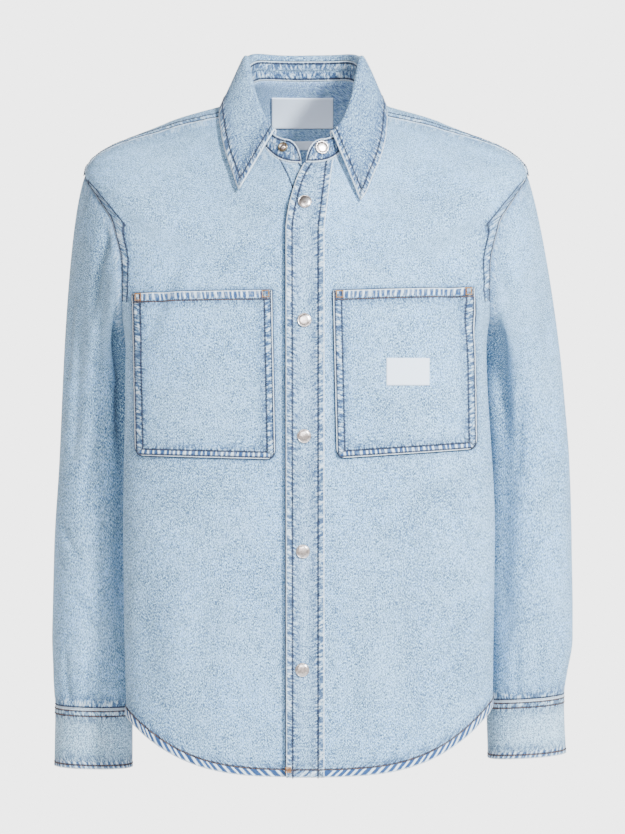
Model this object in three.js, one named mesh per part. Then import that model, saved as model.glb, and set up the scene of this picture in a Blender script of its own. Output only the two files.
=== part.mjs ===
// A long-sleeved denim shirt, filled out as if worn, with nobody in it.
// Millimetres, +Z up. The front faces -Y and the wearer's left side is +X.
// The origin is midway between the two points where the shoulder seams meet the neck.
import * as THREE from "three";

// Cloth and trim
const DENIM = 1.6; // wall of one panel
const SEAM_GAP = 0.3; // between two pieces that are sewn together
const LAYER_GAP = 0.5; // between a piece and the panel it lies on
const BAND = 1.4; // placket and pocket cloth
const LABEL = 0.6;
const LABEL_GAP = 1.1; // the neck labels hang this far inside the yoke
const PLACKET_LIFT = 0.5; // more room under the placket's top, where the neck curves
const POCKET_GAP = 0.5;
const SNAP_DIAMETER = 15;
const SNAP_HEIGHT = 2.4;
const STUD_DIAMETER = 11;
const SNAP_SIDES = 12;

const deg = THREE.MathUtils.degToRad;
const vec = (x, y, z) => new THREE.Vector3(x, y, z);
const blend = (a, b, t) => a + (b - a) * t;
const smooth = (t) => {
  const c = Math.min(1, Math.max(0, t));
  return c * c * (3 - 2 * c);
};
const table = (names, rows) =>
  rows.map((row) =>
    Object.fromEntries(names.split(" ").map((name, i) => [name, row[i]])),
  );

// The torso's sections, from the hem (v 0) over the armpits (2), the back yoke seam and shoulder
// tips (3), the middle of the shoulders (4) and the neck seam (5) to the top of the stand (6).
// half: half width, and more on the wearer's left. side_y: depth of the widest point. front, back:
// depth at the centre. front_z, side_z, back_z: height at the centre front, side and centre back.
// front_n, back_n: how square the plan is. front_rise, back_rise: how late the height turns to side_z.
const TORSO = table(
  "v half more side_y front back front_z side_z back_z front_n back_n front_rise back_rise",
  [
    [0, 195, 7, -42, 114, 104, -735, -669, -742, 2.7, 1.9, 3.3, 3.3],
    [1, 197, 7, -46, 119, 104, -505, -480, -505, 2.7, 1.9, 4, 4],
    [2, 195, 0, -46, 124, 112, -281, -281, -281, 2.6, 1.9, 3, 3],
    [3, 243, 0, 16, 111, 116, -178, -86, -82, 2.2, 2.3, 2.6, 2.6],
    [4, 155, -4, 10, 96, 98, -132, -30, -21, 2.0, 2.2, 3, 3],
    [5, 70, -4.5, 3, 80, 68, -81, 0, 23.5, 2.0, 2.2, 3.2, 9],
    [6, 65, -5, 1, 74, 63, -55, 33, 45.5, 2.0, 2.8, 4, 12],
  ],
);
const HEM_TILT = 4.5; // the hem's side corner is higher on the wearer's left by twice this

// The panels' edges, in degrees round the torso from the centre front.
// front_edge: side seam, front armhole, front yoke seam. back_edge: side seam, back armhole.
const FRONT_EDGE = table("v angle", [
  [0, 113],
  [2, 113],
  [2.1, 97],
  [2.2, 80],
  [2.35, 69],
  [2.54, 62],
  [2.73, 61],
  [2.88, 70],
  [3, 84],
  [4, 76],
  [5, 68],
]);
const BACK_EDGE = table("v angle", [
  [0, 113],
  [2, 113],
  [2.15, 119],
  [2.4, 125],
  [2.65, 127],
  [2.87, 123],
  [3, 116],
]);
// The centre-front edges and the placket's two edges, as a distance from the centre line.
const CENTRE = table("v right_front left_front placket_in placket_out", [
  [0, 19, -19, 19.5, -21],
  [3.4, 19, -19.5, 19.5, -21.5],
  [4, 16, -17, 22, -18.5],
  [4.5, 6, -10, 25, -11.5],
  [5, -5, 0, 28, -1],
]);
const LAP = DENIM + 0.4; // how far the left front lies out over the right one
const LAP_FLAT = 30; // the left front is out by all of it up to here
const LAP_END = 52; // and comes down to the torso's surface here

// Stand and collar leaf
const STAND_ROUND = 17; // length of the stand's rounded end
const FOLD_RADIUS = 2.6;
// share: how far round the neck from the leaf's front edge (0) to the centre back (1).
// rise: fold above the stand. The rest is where the leaf's outer edge lies on the torso, with its
// own section and angle for each side, and how far it stands clear of the cloth under it.
const LEAF = table("share rise left_v left_angle right_v right_angle clear", [
  [0, 2.5, 4.05, 23, 4.15, 30.3, 5],
  [0.08, 4, 4.3, 36, 4.31, 39.5, 5],
  [0.2, 6, 4.47, 57, 4.48, 60, 4.5],
  [0.32, 8, 4.57, 72, 4.56, 74, 4.5],
  [0.45, 7.5, 4.67, 92, 4.67, 92, 5],
  [0.67, 4.5, 4.72, 130, 4.72, 130, 6],
  [1, 3.5, 4.72, 180, 4.72, 180, 7],
]);
const LEAF_START = { left: 25.5, right: 30.5 }; // angle of the leaf's front edges, from the front

// Sleeve below its cap: inner and outer reach from the centre line, middle and half depth.
// swing: how far the wearer's left sleeve stands out beyond the right one.
const SLEEVE = table("z outer inner mid_y half_y swing", [
  [-318, 270, 180, 43, 67, 15.5],
  [-400, 273.5, 182, 42, 65, 18.5],
  [-500, 279, 184, 37, 61, 15.5],
  [-600, 280.5, 187, 30, 53, 14.5],
  [-640, 279, 190, 27, 47, 10],
  [-668, 277, 193, 25, 39, 8],
  [-745, 278, 193, 24, 37, 10],
]);
const SLEEVE_SQUARE = 2.2;
const CAP_Z = -318; // where the sleeve has turned to hang straight down
const CAP_INNER = 23; // sleeve angle of the underarm column, 0 facing the body, 90 to the front
const CAP_OUTER = 173; // sleeve angle of the column from the shoulder tip
const CUFF = {
  left: { seam: -663, hem: -727, tilt: 3 },
  right: { seam: -673, hem: -739, tilt: 1 },
};
const CUFF_LAP_AT = 262; // sleeve angle of the cuff's overlap, at the back
const CUFF_LAP = 26; // length of the overlap, in degrees
// Long soft folds in the sleeves: angle at the top and bottom, first and last height, depth, width
const SLEEVE_FOLDS = table("side top_at low_at top_z low_z deep wide", [
  [1, 60, 48, -250, -640, 7, 20],
  [1, 128, 118, -240, -520, 3, 13],
  [1, 330, 345, -330, -610, 4, 18],
  [-1, 55, 46, -240, -640, 8, 20],
  [-1, 118, 126, -140, -430, 5, 12],
  [-1, 235, 225, -300, -620, 4, 18],
]);

// Pockets: corners as distance from the centre line and height
const POCKETS = {
  right: {
    top_in: [-36, -219],
    top_out: [-184, -221],
    low_in: [-32.5, -397.5],
    low_out: [-180.5, -394],
  },
  left: {
    top_in: [28.5, -220],
    top_out: [177.5, -215],
    low_in: [32.5, -396.5],
    low_out: [180.5, -387],
  },
};
const POCKET_PUFF = 1.6; // how far the pocket's middle stands off
const POCKET_PATCH = { x: 107, z: -305, wide: 45, high: 29 };
const NECK_LABEL = { x: -4, z: -9, wide: 70, high: 33 };
const SIZE_LABEL = { x: -4, z: -44, wide: 40, high: 10 };
const FRONT_SNAPS = table("x z", [
  [-1.3, -125],
  [-1.7, -251],
  [-2, -373],
  [-3.2, -495],
  [-4, -620.5],
]);

// How many cells each stretch of cloth has
const CELLS = {
  hem_to_armpit: 13,
  armhole: 7,
  armhole_top: 4,
  shoulder: 5,
  front_across: 10,
  back_across: 18,
  sleeve_cap: 6,
  sleeve_tube: 13,
};

// A table's value at a place between its rows: monotone cubic, so it never overshoots.
function along(rows, key, name, at) {
  const last = rows.length - 1;
  if (at <= rows[0][key]) return rows[0][name];
  if (at >= rows[last][key]) return rows[last][name];
  let i = 0;
  while (at > rows[i + 1][key]) i++;
  const step = (k) => rows[k + 1][key] - rows[k][key];
  const slope = (k) => (rows[k + 1][name] - rows[k][name]) / step(k);
  const tangent = (k) => {
    if (k === 0) return slope(0);
    if (k === last) return slope(last - 1);
    const before = slope(k - 1);
    const after = slope(k);
    if (before * after <= 0) return 0;
    const w1 = 2 * step(k) + step(k - 1);
    const w2 = step(k) + 2 * step(k - 1);
    return (w1 + w2) / (w1 / before + w2 / after);
  };
  const h = step(i);
  const t = (at - rows[i][key]) / h;
  const a = rows[i][name];
  const b = rows[i + 1][name];
  return (
    a * (1 + 2 * t) * (1 - t) ** 2 +
    b * t * t * (3 - 2 * t) +
    h * tangent(i) * t * (1 - t) ** 2 +
    h * tangent(i + 1) * t * t * (t - 1)
  );
}

const halfWidth = (v, side) =>
  along(TORSO, "v", "half", v) + (side > 0 ? along(TORSO, "v", "more", v) : 0);

// The torso's surface at section v and angle a, in radians from the centre front towards +X.
function torso(v, a) {
  const g = (name) => along(TORSO, "v", name, v);
  const s = Math.sin(a);
  const c = Math.cos(a);
  const facing = c >= 0 ? "front" : "back";
  const n = g(facing + "_n");
  const u = Math.abs(s) ** (2 / n);
  const centre_y = c >= 0 ? -g("front") : g("back");
  const side_z =
    g("side_z") + HEM_TILT * Math.sign(s) * u * Math.max(0, 1 - v) ** 2;
  return vec(
    Math.sign(s) * halfWidth(v, s) * u,
    blend(g("side_y"), centre_y, Math.abs(c) ** (2 / n)),
    blend(side_z, g(facing + "_z"), 1 - u ** g(facing + "_rise")),
  );
}

// The outward direction of any surface given as a function of two numbers.
function outward(surface, p, q, dp, dq) {
  const across = surface(p, q + dq).sub(surface(p, q - dq));
  const up = surface(p + dp, q).sub(surface(p - dp, q));
  return across.cross(up).normalize();
}
const torsoOut = (v, a) => outward(torso, v, a, 0.01, 0.012);

// The angle at which section v reaches a distance x from the centre line.
function angleAt(v, x, back) {
  const n = along(TORSO, "v", back ? "back_n" : "front_n", v);
  const u = Math.min(1, Math.abs(x) / halfWidth(v, x));
  const a = Math.asin(u ** (n / 2));
  return back ? Math.PI - Math.sign(x) * a : Math.sign(x) * a;
}

// Section and angle of the point of the front (or back) at distance x and height z.
function placeAt(x, z, back = false) {
  let low = 0;
  let high = 5;
  for (let i = 0; i < 40; i++) {
    const v = (low + high) / 2;
    if (torso(v, angleAt(v, x, back)).z < z) low = v;
    else high = v;
  }
  return { v: low, a: angleAt(low, x, back) };
}

// A closed wall from a grid of points and the direction out of the cloth at each of them.
function wall(points, out, low, high, closed = false) {
  const rows = points.length;
  const columns = points[0].length;
  const position = [];
  for (const reach of [high, low])
    points.forEach((row, i) =>
      row.forEach((p, j) => {
        const q = p.clone().addScaledVector(out[i][j], reach);
        position.push(q.x, q.y, q.z);
      }),
    );
  const face = (side, i, j) => side * rows * columns + i * columns + (j % columns);
  const index = [];
  const corner = (k) => vec(...position.slice(3 * k, 3 * k + 3));
  const apart = (a, b) => corner(a).distanceTo(corner(b));
  const quad = (a, b, c, d) => {
    if (apart(a, c) <= apart(b, d)) index.push(a, b, c, a, c, d);
    else index.push(a, b, d, b, c, d);
  };
  const spans = closed ? columns : columns - 1;
  for (let i = 0; i < rows - 1; i++)
    for (let j = 0; j < spans; j++) {
      quad(face(0, i, j), face(0, i, j + 1), face(0, i + 1, j + 1), face(0, i + 1, j));
      quad(face(1, i, j), face(1, i + 1, j), face(1, i + 1, j + 1), face(1, i, j + 1));
    }
  for (let j = 0; j < spans; j++) {
    const end = rows - 1;
    quad(face(0, 0, j), face(1, 0, j), face(1, 0, j + 1), face(0, 0, j + 1));
    quad(face(0, end, j), face(0, end, j + 1), face(1, end, j + 1), face(1, end, j));
  }
  if (!closed)
    for (let i = 0; i < rows - 1; i++) {
      const end = columns - 1;
      quad(face(0, i, 0), face(0, i + 1, 0), face(1, i + 1, 0), face(1, i, 0));
      quad(face(0, i, end), face(1, i, end), face(1, i + 1, end), face(0, i + 1, end));
    }
  let volume = 0;
  for (let k = 0; k < index.length; k += 3) {
    const [a, b, c] = index.slice(k, k + 3).map(corner);
    volume += a.dot(b.cross(c));
  }
  if (volume < 0) index.reverse();
  const geometry = new THREE.BufferGeometry();
  geometry.setAttribute("position", new THREE.Float32BufferAttribute(position, 3));
  geometry.setIndex(index);
  geometry.computeVertexNormals();
  return geometry;
}

// Moves one edge of a grid into its own piece, to leave the gap of a seam.
function holdBack(points, edge, distance) {
  const last = points.length - 1;
  const move = (p, towards) =>
    p.addScaledVector(towards.clone().sub(p).normalize(), distance);
  if (edge === "low") points[0].forEach((p, j) => move(p, points[1][j]));
  if (edge === "high")
    points[last].forEach((p, j) => move(p, points[last - 1][j]));
  if (edge === "start") points.forEach((row) => move(row[0], row[1]));
  if (edge === "end")
    points.forEach((row) => move(row[row.length - 1], row[row.length - 2]));
}

// n + 1 values between two ends at which a curve is cut into equal lengths.
function evenly(curve, from, to, n) {
  const fine = 400;
  const lengths = [0];
  let before = curve(from);
  for (let i = 1; i <= fine; i++) {
    const p = curve(blend(from, to, i / fine));
    lengths.push(lengths[i - 1] + p.distanceTo(before));
    before = p;
  }
  const values = [];
  let k = 0;
  for (let i = 0; i <= n; i++) {
    const want = (lengths[fine] * i) / n;
    while (k < fine - 1 && lengths[k + 1] < want) k++;
    const t = (want - lengths[k]) / (lengths[k + 1] - lengths[k]);
    values.push(blend(from, to, (k + t) / fine));
  }
  return values;
}

const frontEdge = (v) => deg(along(FRONT_EDGE, "v", "angle", v));
const backEdge = (v) => deg(along(BACK_EDGE, "v", "angle", v));

const sideRows = evenly((v) => torso(v, frontEdge(v)), 0, 2, CELLS.hem_to_armpit);
const frontRows = evenly((v) => torso(v, frontEdge(v)), 2, 3, CELLS.armhole);
const backRows = evenly((v) => torso(v, backEdge(v)), 2, 3, CELLS.armhole);
const shoulderRows = evenly((v) => torso(v, frontEdge(v)), 3, 5, CELLS.shoulder);
const capAngles = evenly((a) => torso(3, a), frontEdge(3), backEdge(3), CELLS.armhole_top);

// The armhole, from the armpit up the front, over the shoulder and down the back: each point's
// place on the torso and its direction out of the torso's cloth.
const armhole = [
  ...frontRows.slice(0, -1).map((v) => [v, frontEdge(v)]),
  ...capAngles.slice(0, -1).map((a) => [3, a]),
  ...backRows.slice(1).reverse().map((v) => [v, backEdge(v)]),
].map(([v, a]) => ({ v, a, point: torso(v, a), out: torsoOut(v, a) }));
const tipIndex = CELLS.armhole + 1;

// The sleeve's hanging tube, as it would be at the wearer's left, at height z and sleeve angle t.
function tube(side, z, t) {
  const g = (name) => along([...SLEEVE].reverse(), "z", name, z);
  const swing = side > 0 ? g("swing") : 0;
  const half_x = (g("outer") - g("inner")) / 2;
  const mid_x = (g("outer") + g("inner")) / 2 + swing;
  const cuff = side > 0 ? CUFF.left : CUFF.right;
  const c = Math.cos(deg(t));
  const s = Math.sin(deg(t));
  const round = (w) => Math.sign(w) * Math.abs(w) ** (2 / SLEEVE_SQUARE);
  const low = smooth((CAP_Z - z) / 200);
  let depth = 0;
  for (const f of SLEEVE_FOLDS.filter((row) => row.side === side)) {
    const down = (f.top_z - z) / (f.top_z - f.low_z);
    const centre = blend(f.top_at, f.low_at, down);
    const away = ((((t - centre) % 360) + 540) % 360) - 180;
    const ends = smooth(down * 4) * smooth((1 - down) * 4);
    depth += f.deep * ends * Math.exp(-((away / f.wide) ** 2));
  }
  const shrink = 1 - depth / 60;
  return vec(
    mid_x - half_x * shrink * round(c),
    g("mid_y") - g("half_y") * shrink * round(s),
    z - cuff.tilt * low * c,
  );
}

// Sleeve angle of each armhole column.
const sleeveAngles = armhole.map((_, j) =>
  j <= tipIndex
    ? blend(CAP_INNER, CAP_OUTER, j / tipIndex)
    : blend(CAP_OUTER, 360 + CAP_INNER, (j - tipIndex) / (armhole.length - tipIndex)),
);

// How the sleeve leaves each armhole point: outwards at the underarm and the sides of the hole,
// and down at once at the shoulder tip. reach is its pull, as a share of the cap's length there.
const armholeAhead = armhole.map(({ point }) => {
  const side = smooth((point.z + 281) / 110);
  const tip = smooth((point.z + 170) / 80);
  const across = (point.y - 15) / 65;
  const out = vec(0.93, 0.1, -0.35)
    .lerp(vec(0.75, 0.1 + 0.4 * across, -0.6), side)
    .lerp(vec(0.33, 0.05 + 0.3 * across, -0.86), tip);
  return { out: out.normalize(), reach: blend(0.95, 0.55, side) };
});

function sleeveGrid(side) {
  const cuff = side > 0 ? CUFF.left : CUFF.right;
  const grid = [];
  for (let i = 0; i <= CELLS.sleeve_cap; i++) {
    const t = (i / CELLS.sleeve_cap) ** 1.15;
    grid.push(
      armhole.map((p, j) => {
        const end = tube(side, CAP_Z, sleeveAngles[j]);
        const below = tube(side, CAP_Z - 10, sleeveAngles[j]).sub(end).normalize();
        const span = p.point.distanceTo(end);
        const start = armholeAhead[j].out.clone().multiplyScalar(armholeAhead[j].reach * span);
        const finish = below.multiplyScalar(0.9 * span);
        return vec(0, 0, 0)
          .addScaledVector(p.point, (1 + 2 * t) * (1 - t) ** 2)
          .addScaledVector(end, t * t * (3 - 2 * t))
          .addScaledVector(start, t * (1 - t) ** 2)
          .addScaledVector(finish, t * t * (t - 1));
      }),
    );
  }
  for (let i = 1; i <= CELLS.sleeve_tube; i++) {
    const z = blend(CAP_Z, cuff.seam, i / CELLS.sleeve_tube);
    grid.push(sleeveAngles.map((t) => tube(side, z, t)));
  }
  return grid;
}

// Directions out of a tube's cloth, from its neighbouring points. Rows run from top to bottom.
function tubeOut(grid) {
  const rows = grid.length;
  const columns = grid[0].length;
  return grid.map((row, i) =>
    row.map((_, j) => {
      const down = grid[Math.min(rows - 1, i + 1)][j]
        .clone()
        .sub(grid[Math.max(0, i - 1)][j]);
      const round = row[(j + 1) % columns].clone().sub(row[(j + columns - 1) % columns]);
      return down.cross(round).normalize();
    }),
  );
}

// The shared direction of two walls that meet at an angle, long enough to keep both thick.
function mitre(a, b) {
  const m = a.clone().add(b).normalize();
  return m.divideScalar(Math.max(0.5, m.dot(a)));
}

const sleeveGrids = { left: sleeveGrid(1), right: sleeveGrid(-1) };
const sleeveOuts = {
  left: tubeOut(sleeveGrids.left),
  right: tubeOut(sleeveGrids.right),
};
const armholeOut = (side, j) =>
  mitre(armhole[j].out, sleeveOuts[side][0][j]);
const lapAt = (x) => LAP * (1 - smooth((x - LAP_FLAT) / (LAP_END - LAP_FLAT)));

// Stand and neck seam: the stand leans in, so its wall and the panels' are mitred.
function standOut(a) {
  const up = torso(6, a).sub(torso(5, a));
  const round = torso(5.5, a + 0.02).sub(torso(5.5, a - 0.02));
  return round.cross(up).normalize();
}
const neckOut = (a) => mitre(torsoOut(5, a), standOut(a));

// The columns across a front at section v, as angles: the edges of the overlap, where the left
// front starts to come down and where it has come down, then evenly to the side.
function frontColumns(side, v) {
  const [own, other] = side > 0 ? ["left_front", "right_front"] : ["right_front", "left_front"];
  const start = side * along(CENTRE, "v", own, v);
  const lapped = Math.max(side * along(CENTRE, "v", other, v), start + 8);
  const half = [(lapped + LAP_FLAT) / 2, (LAP_FLAT + LAP_END) / 2];
  const fixed = [start, lapped, half[0], LAP_FLAT, half[1], LAP_END].map((x) => angleAt(v, x, false));
  const rest = evenly((a) => torso(v, a), fixed[5], frontEdge(v), CELLS.front_across);
  return [...fixed, ...rest.slice(1)].map((a) => side * a);
}

// One front, for the wearer's left (+1) or right (-1) side, in the torso's own points.
function frontPanel(side) {
  const name = side > 0 ? "left" : "right";
  const sections = [...sideRows, ...frontRows.slice(1), ...shoulderRows.slice(1)];
  const points = [];
  const out = [];
  sections.forEach((v, i) => {
    const p = [];
    const o = [];
    for (const a of frontColumns(side, v)) {
      const point = torso(v, a);
      let normal = torsoOut(v, a);
      if (side > 0) point.addScaledVector(normal, lapAt(point.x));
      if (i === sections.length - 1) normal = neckOut(a);
      p.push(point);
      o.push(normal);
    }
    const hole = i - CELLS.hem_to_armpit;
    if (hole >= 0 && hole <= CELLS.armhole) {
      const m = armholeOut(name, hole);
      o[o.length - 1] = vec(side * m.x, m.y, m.z);
    }
    points.push(p);
    out.push(o);
  });
  holdBack(points, "high", SEAM_GAP / 2);
  holdBack(points, "end", SEAM_GAP * 0.7);
  return wall(points, out, -DENIM / 2, DENIM / 2);
}

// The columns across the back at section v, as angles from one edge round to the other.
const backColumns = (v, edge) =>
  evenly((a) => torso(v, a), edge, 2 * Math.PI - edge, CELLS.back_across);

function backPanel() {
  const sections = [...sideRows, ...backRows.slice(1)];
  const points = [];
  const out = [];
  sections.forEach((v, i) => {
    const p = [];
    const o = [];
    for (const a of backColumns(v, backEdge(v))) {
      p.push(torso(v, a));
      o.push(torsoOut(v, a));
    }
    const hole = i - CELLS.hem_to_armpit;
    if (hole >= 0 && hole <= CELLS.armhole) {
      const j = (armhole.length - hole) % armhole.length;
      const left = armholeOut("left", j);
      const right = armholeOut("right", j);
      o[0] = left;
      o[o.length - 1] = vec(-right.x, right.y, right.z);
    }
    points.push(p);
    out.push(o);
  });
  holdBack(points, "high", SEAM_GAP / 2);
  holdBack(points, "start", SEAM_GAP * 0.7);
  holdBack(points, "end", SEAM_GAP * 0.7);
  return wall(points, out, -DENIM / 2, DENIM / 2);
}

// The columns of the yoke at section v, as angles from the wearer's left round the back.
function yokeColumns(v) {
  const turn = backEdge(3);
  const end = evenly((a) => torso(v, a), frontEdge(v), turn, CELLS.armhole_top).slice(0, -1);
  return [...end, ...backColumns(v, turn), ...end.map((a) => 2 * Math.PI - a).reverse()];
}

function yoke() {
  const points = [];
  const out = [];
  shoulderRows.forEach((v, i) => {
    const angles = yokeColumns(v);
    const p = angles.map((a) => torso(v, a));
    const o = angles.map((a) =>
      i === shoulderRows.length - 1 ? neckOut(a) : torsoOut(v, a),
    );
    if (i === 0)
      for (let k = 0; k <= CELLS.armhole_top; k++) {
        const left = armholeOut("left", CELLS.armhole + k);
        const right = armholeOut("right", CELLS.armhole + k);
        o[k] = left;
        o[o.length - 1 - k] = vec(-right.x, right.y, right.z);
      }
    points.push(p);
    out.push(o);
  });
  holdBack(points, "low", SEAM_GAP * 0.7);
  holdBack(points, "high", SEAM_GAP / 2);
  holdBack(points, "start", SEAM_GAP / 2);
  holdBack(points, "end", SEAM_GAP / 2);
  return wall(points, out, -DENIM / 2, DENIM / 2);
}

function sleeve(side) {
  const name = side > 0 ? "left" : "right";
  const mirror = (p) => vec(side * p.x, p.y, p.z);
  const grid = sleeveGrids[name].map((row) => row.map(mirror));
  const out = sleeveOuts[name].map((row, i) =>
    row.map((o, j) => mirror(i === 0 ? armholeOut(name, j) : o)),
  );
  holdBack(grid, "low", SEAM_GAP * 0.7);
  return wall(grid, out, -DENIM / 2, DENIM / 2, true);
}

// A cuff is a strip whose last stretch lies over its first.
function cuffPoint(side, z, t) {
  const p = tube(side, z, t % 360);
  const from = tube(side, z, (t + 358) % 360);
  const to = tube(side, z, (t + 2) % 360);
  const out = to.sub(from).cross(vec(0, 0, 1)).normalize();
  const over = smooth((t - CUFF_LAP_AT - 330) / 24);
  p.addScaledVector(out, over * (DENIM + LAYER_GAP + 0.2));
  return { point: vec(side * p.x, p.y, p.z), out: vec(side * out.x, out.y, out.z) };
}
function cuff(side) {
  const c = side > 0 ? CUFF.left : CUFF.right;
  const columns = 24;
  const points = [];
  const out = [];
  for (let i = 0; i <= 3; i++) {
    const z = blend(c.seam - SEAM_GAP - 0.2, c.hem, i / 3);
    const row = [];
    for (let j = 0; j <= columns; j++)
      row.push(cuffPoint(side, z, CUFF_LAP_AT + ((360 + CUFF_LAP) * j) / columns));
    points.push(row.map((q) => q.point));
    out.push(row.map((q) => q.out));
  }
  return wall(points, out, -DENIM / 2, DENIM / 2);
}

// Stand: a strip round the neck with a rounded end at each side of the centre front.
function standPoint(a, up) {
  const low = torso(5, a);
  const out = standOut(a);
  const left = a < Math.PI;
  if (left) low.addScaledVector(out, lapAt(low.x));
  const high = torso(6, a);
  if (left) high.addScaledVector(out, lapAt(high.x));
  const front = Math.abs(a - Math.PI) > Math.PI / 2;
  const end = along(CENTRE, "v", left ? "left_front" : "right_front", 5);
  const reach = front ? Math.abs(torso(5, a).x - end) : STAND_ROUND;
  const t = Math.min(1, Math.max(0, reach / STAND_ROUND));
  const tall = Math.max(0.1, Math.sqrt(1 - (1 - t) ** 2));
  return low.lerp(high, blend(0.025, tall, up));
}

// The stand's columns are those of the panels under it, and more in its rounded ends.
function standColumns() {
  const roundEnd = (side) => {
    const [first, ...rest] = frontColumns(side, 5);
    const start = torso(5, first).x;
    const extra = [0.6, 2, 4.5].map((step) => angleAt(5, start + side * step, false));
    return [first, ...extra, ...rest].map((a) => (side > 0 ? a : 2 * Math.PI + a));
  };
  return [
    ...roundEnd(1).slice(0, -1),
    ...yokeColumns(5),
    ...roundEnd(-1).reverse().slice(1),
  ];
}
function stand() {
  const angles = standColumns();
  const points = [];
  const out = [];
  [0, 0.5, 1].forEach((up) => {
    points.push(angles.map((a) => standPoint(a, up)));
    out.push(angles.map((a) => (up === 0 ? neckOut(a) : standOut(a))));
  });
  return wall(points, out, -DENIM / 2, DENIM / 2);
}

// The collar's leaf rises from the stand, folds over and falls to its outer edge.
function leafColumn(a, cells) {
  const left = a < Math.PI;
  const side = left ? "left" : "right";
  const start = deg(LEAF_START[side]);
  const share = ((left ? a : 2 * Math.PI - a) - start) / (Math.PI - start);
  const g = (name) => along(LEAF, "share", name, share);
  const foot = standPoint(a, 1);
  const up = torso(6, a).sub(torso(5, a)).normalize();
  const out = standOut(a);
  const place = deg(g(side + "_angle"));
  const edge_a = left ? place : 2 * Math.PI - place;
  const edge_v = g(side + "_v");
  const edge = torso(edge_v, edge_a).addScaledVector(torsoOut(edge_v, edge_a), g("clear"));
  const rise = g("rise");
  const r = FOLD_RADIUS;
  const at = (u, o) => foot.clone().addScaledVector(up, u).addScaledVector(out, o);
  const column = [at(SEAM_GAP + 0.5, 0), at(rise * 0.6, 0)];
  for (const turn of [0, 60, 120])
    column.push(at(rise + r * Math.sin(deg(turn)), r - r * Math.cos(deg(turn))));
  const top = at(rise, 2 * r);
  const bow = top.clone().lerp(edge, 0.45).addScaledVector(out, 1);
  for (let i = 0; i <= cells; i++) {
    const t = i / cells;
    column.push(
      vec(0, 0, 0)
        .addScaledVector(top, (1 - t) ** 2)
        .addScaledVector(bow, 2 * t * (1 - t))
        .addScaledVector(edge, t * t),
    );
  }
  return column;
}
function collar() {
  const start = deg(LEAF_START.left);
  const end = 2 * Math.PI - deg(LEAF_START.right);
  const inside = standColumns().filter((a) => a > start + 0.03 && a < end - 0.03);
  const angles = [start, ...inside, end];
  const columns = angles.map((a) => leafColumn(a, 4));
  const points = columns[0].map((_, i) => columns.map((column) => column[i]));
  const out = points.map((row, i) =>
    row.map((_, j) => {
      const down = points[Math.min(points.length - 1, i + 1)][j]
        .clone()
        .sub(points[Math.max(0, i - 1)][j]);
      const round = row[Math.min(row.length - 1, j + 1)].clone().sub(row[Math.max(0, j - 1)]);
      return down.cross(round).normalize();
    }),
  );
  return wall(points, out, -DENIM / 2, DENIM / 2);
}

// What lies on the left front is made from its points: section v, angle a, distance out.
function leftFrontPoint(v, a) {
  const p = torso(v, a);
  return p.addScaledVector(torsoOut(v, a), lapAt(p.x));
}

function placket() {
  const sections = [...sideRows, ...frontRows.slice(1), ...shoulderRows.slice(1)];
  sections[sections.length - 1] = 4.965;
  const points = [];
  const out = [];
  for (const v of sections) {
    const from = along(CENTRE, "v", "placket_out", v);
    const to = along(CENTRE, "v", "placket_in", v);
    const angles = [0, 1, 2, 3].map((k) => angleAt(v, blend(from, to, k / 3), false));
    const lift = PLACKET_LIFT * smooth(v - 3.3);
    out.push(angles.map((a) => torsoOut(v, a)));
    points.push(angles.map((a) => leftFrontPoint(v, a).addScaledVector(torsoOut(v, a), lift)));
  }
  const low = DENIM / 2 + LAYER_GAP;
  return wall(points, out, low, low + BAND);
}

// A rectangle of cloth on the front or inside the back, between two pairs of corners.
function patch(corners, across, up, surface) {
  const points = [];
  const out = [];
  const between = (k, s, t) =>
    blend(
      blend(corners.low_in[k], corners.low_out[k], s),
      blend(corners.top_in[k], corners.top_out[k], s),
      t,
    );
  for (let i = 0; i <= up; i++) {
    const p = [];
    const o = [];
    for (let j = 0; j <= across; j++) {
      const s = j / across;
      const t = i / up;
      const q = surface(between(0, s, t), between(1, s, t), s, t);
      p.push(q.point);
      o.push(q.out);
    }
    points.push(p);
    out.push(o);
  }
  return { points, out };
}
function onFront(x, z) {
  const { v, a } = placeAt(x, z);
  const out = torsoOut(v, a);
  const point = torso(v, a);
  if (x > 0) point.addScaledVector(out, lapAt(x));
  return { point, out };
}
function onPocket(x, z, s, t) {
  const q = onFront(x, z);
  q.point.addScaledVector(q.out, POCKET_PUFF * Math.sin(Math.PI * s) * Math.sin(Math.PI * t));
  return q;
}
function inBack(x, z) {
  const { v, a } = placeAt(x, z, true);
  return { point: torso(v, a), out: torsoOut(v, a) };
}
const corners = ({ x, z, wide, high }) => ({
  low_in: [x - wide / 2, z - high / 2],
  low_out: [x + wide / 2, z - high / 2],
  top_in: [x - wide / 2, z + high / 2],
  top_out: [x + wide / 2, z + high / 2],
});
function pocket(name) {
  const { points, out } = patch(POCKETS[name], 14, 8, onPocket);
  const low = DENIM / 2 + POCKET_GAP;
  return wall(points, out, low, low + BAND);
}
function pocketPatch() {
  const { points, out } = patch(corners(POCKET_PATCH), 3, 2, onFront);
  const low = DENIM / 2 + POCKET_GAP + BAND + POCKET_PUFF + LAYER_GAP;
  return wall(points, out, low, low + LABEL);
}
function backLabel(size) {
  const { points, out } = patch(corners(size), 6, 3, inBack);
  const high = -DENIM / 2 - LABEL_GAP;
  return wall(points, out, high - LABEL, high);
}

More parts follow.
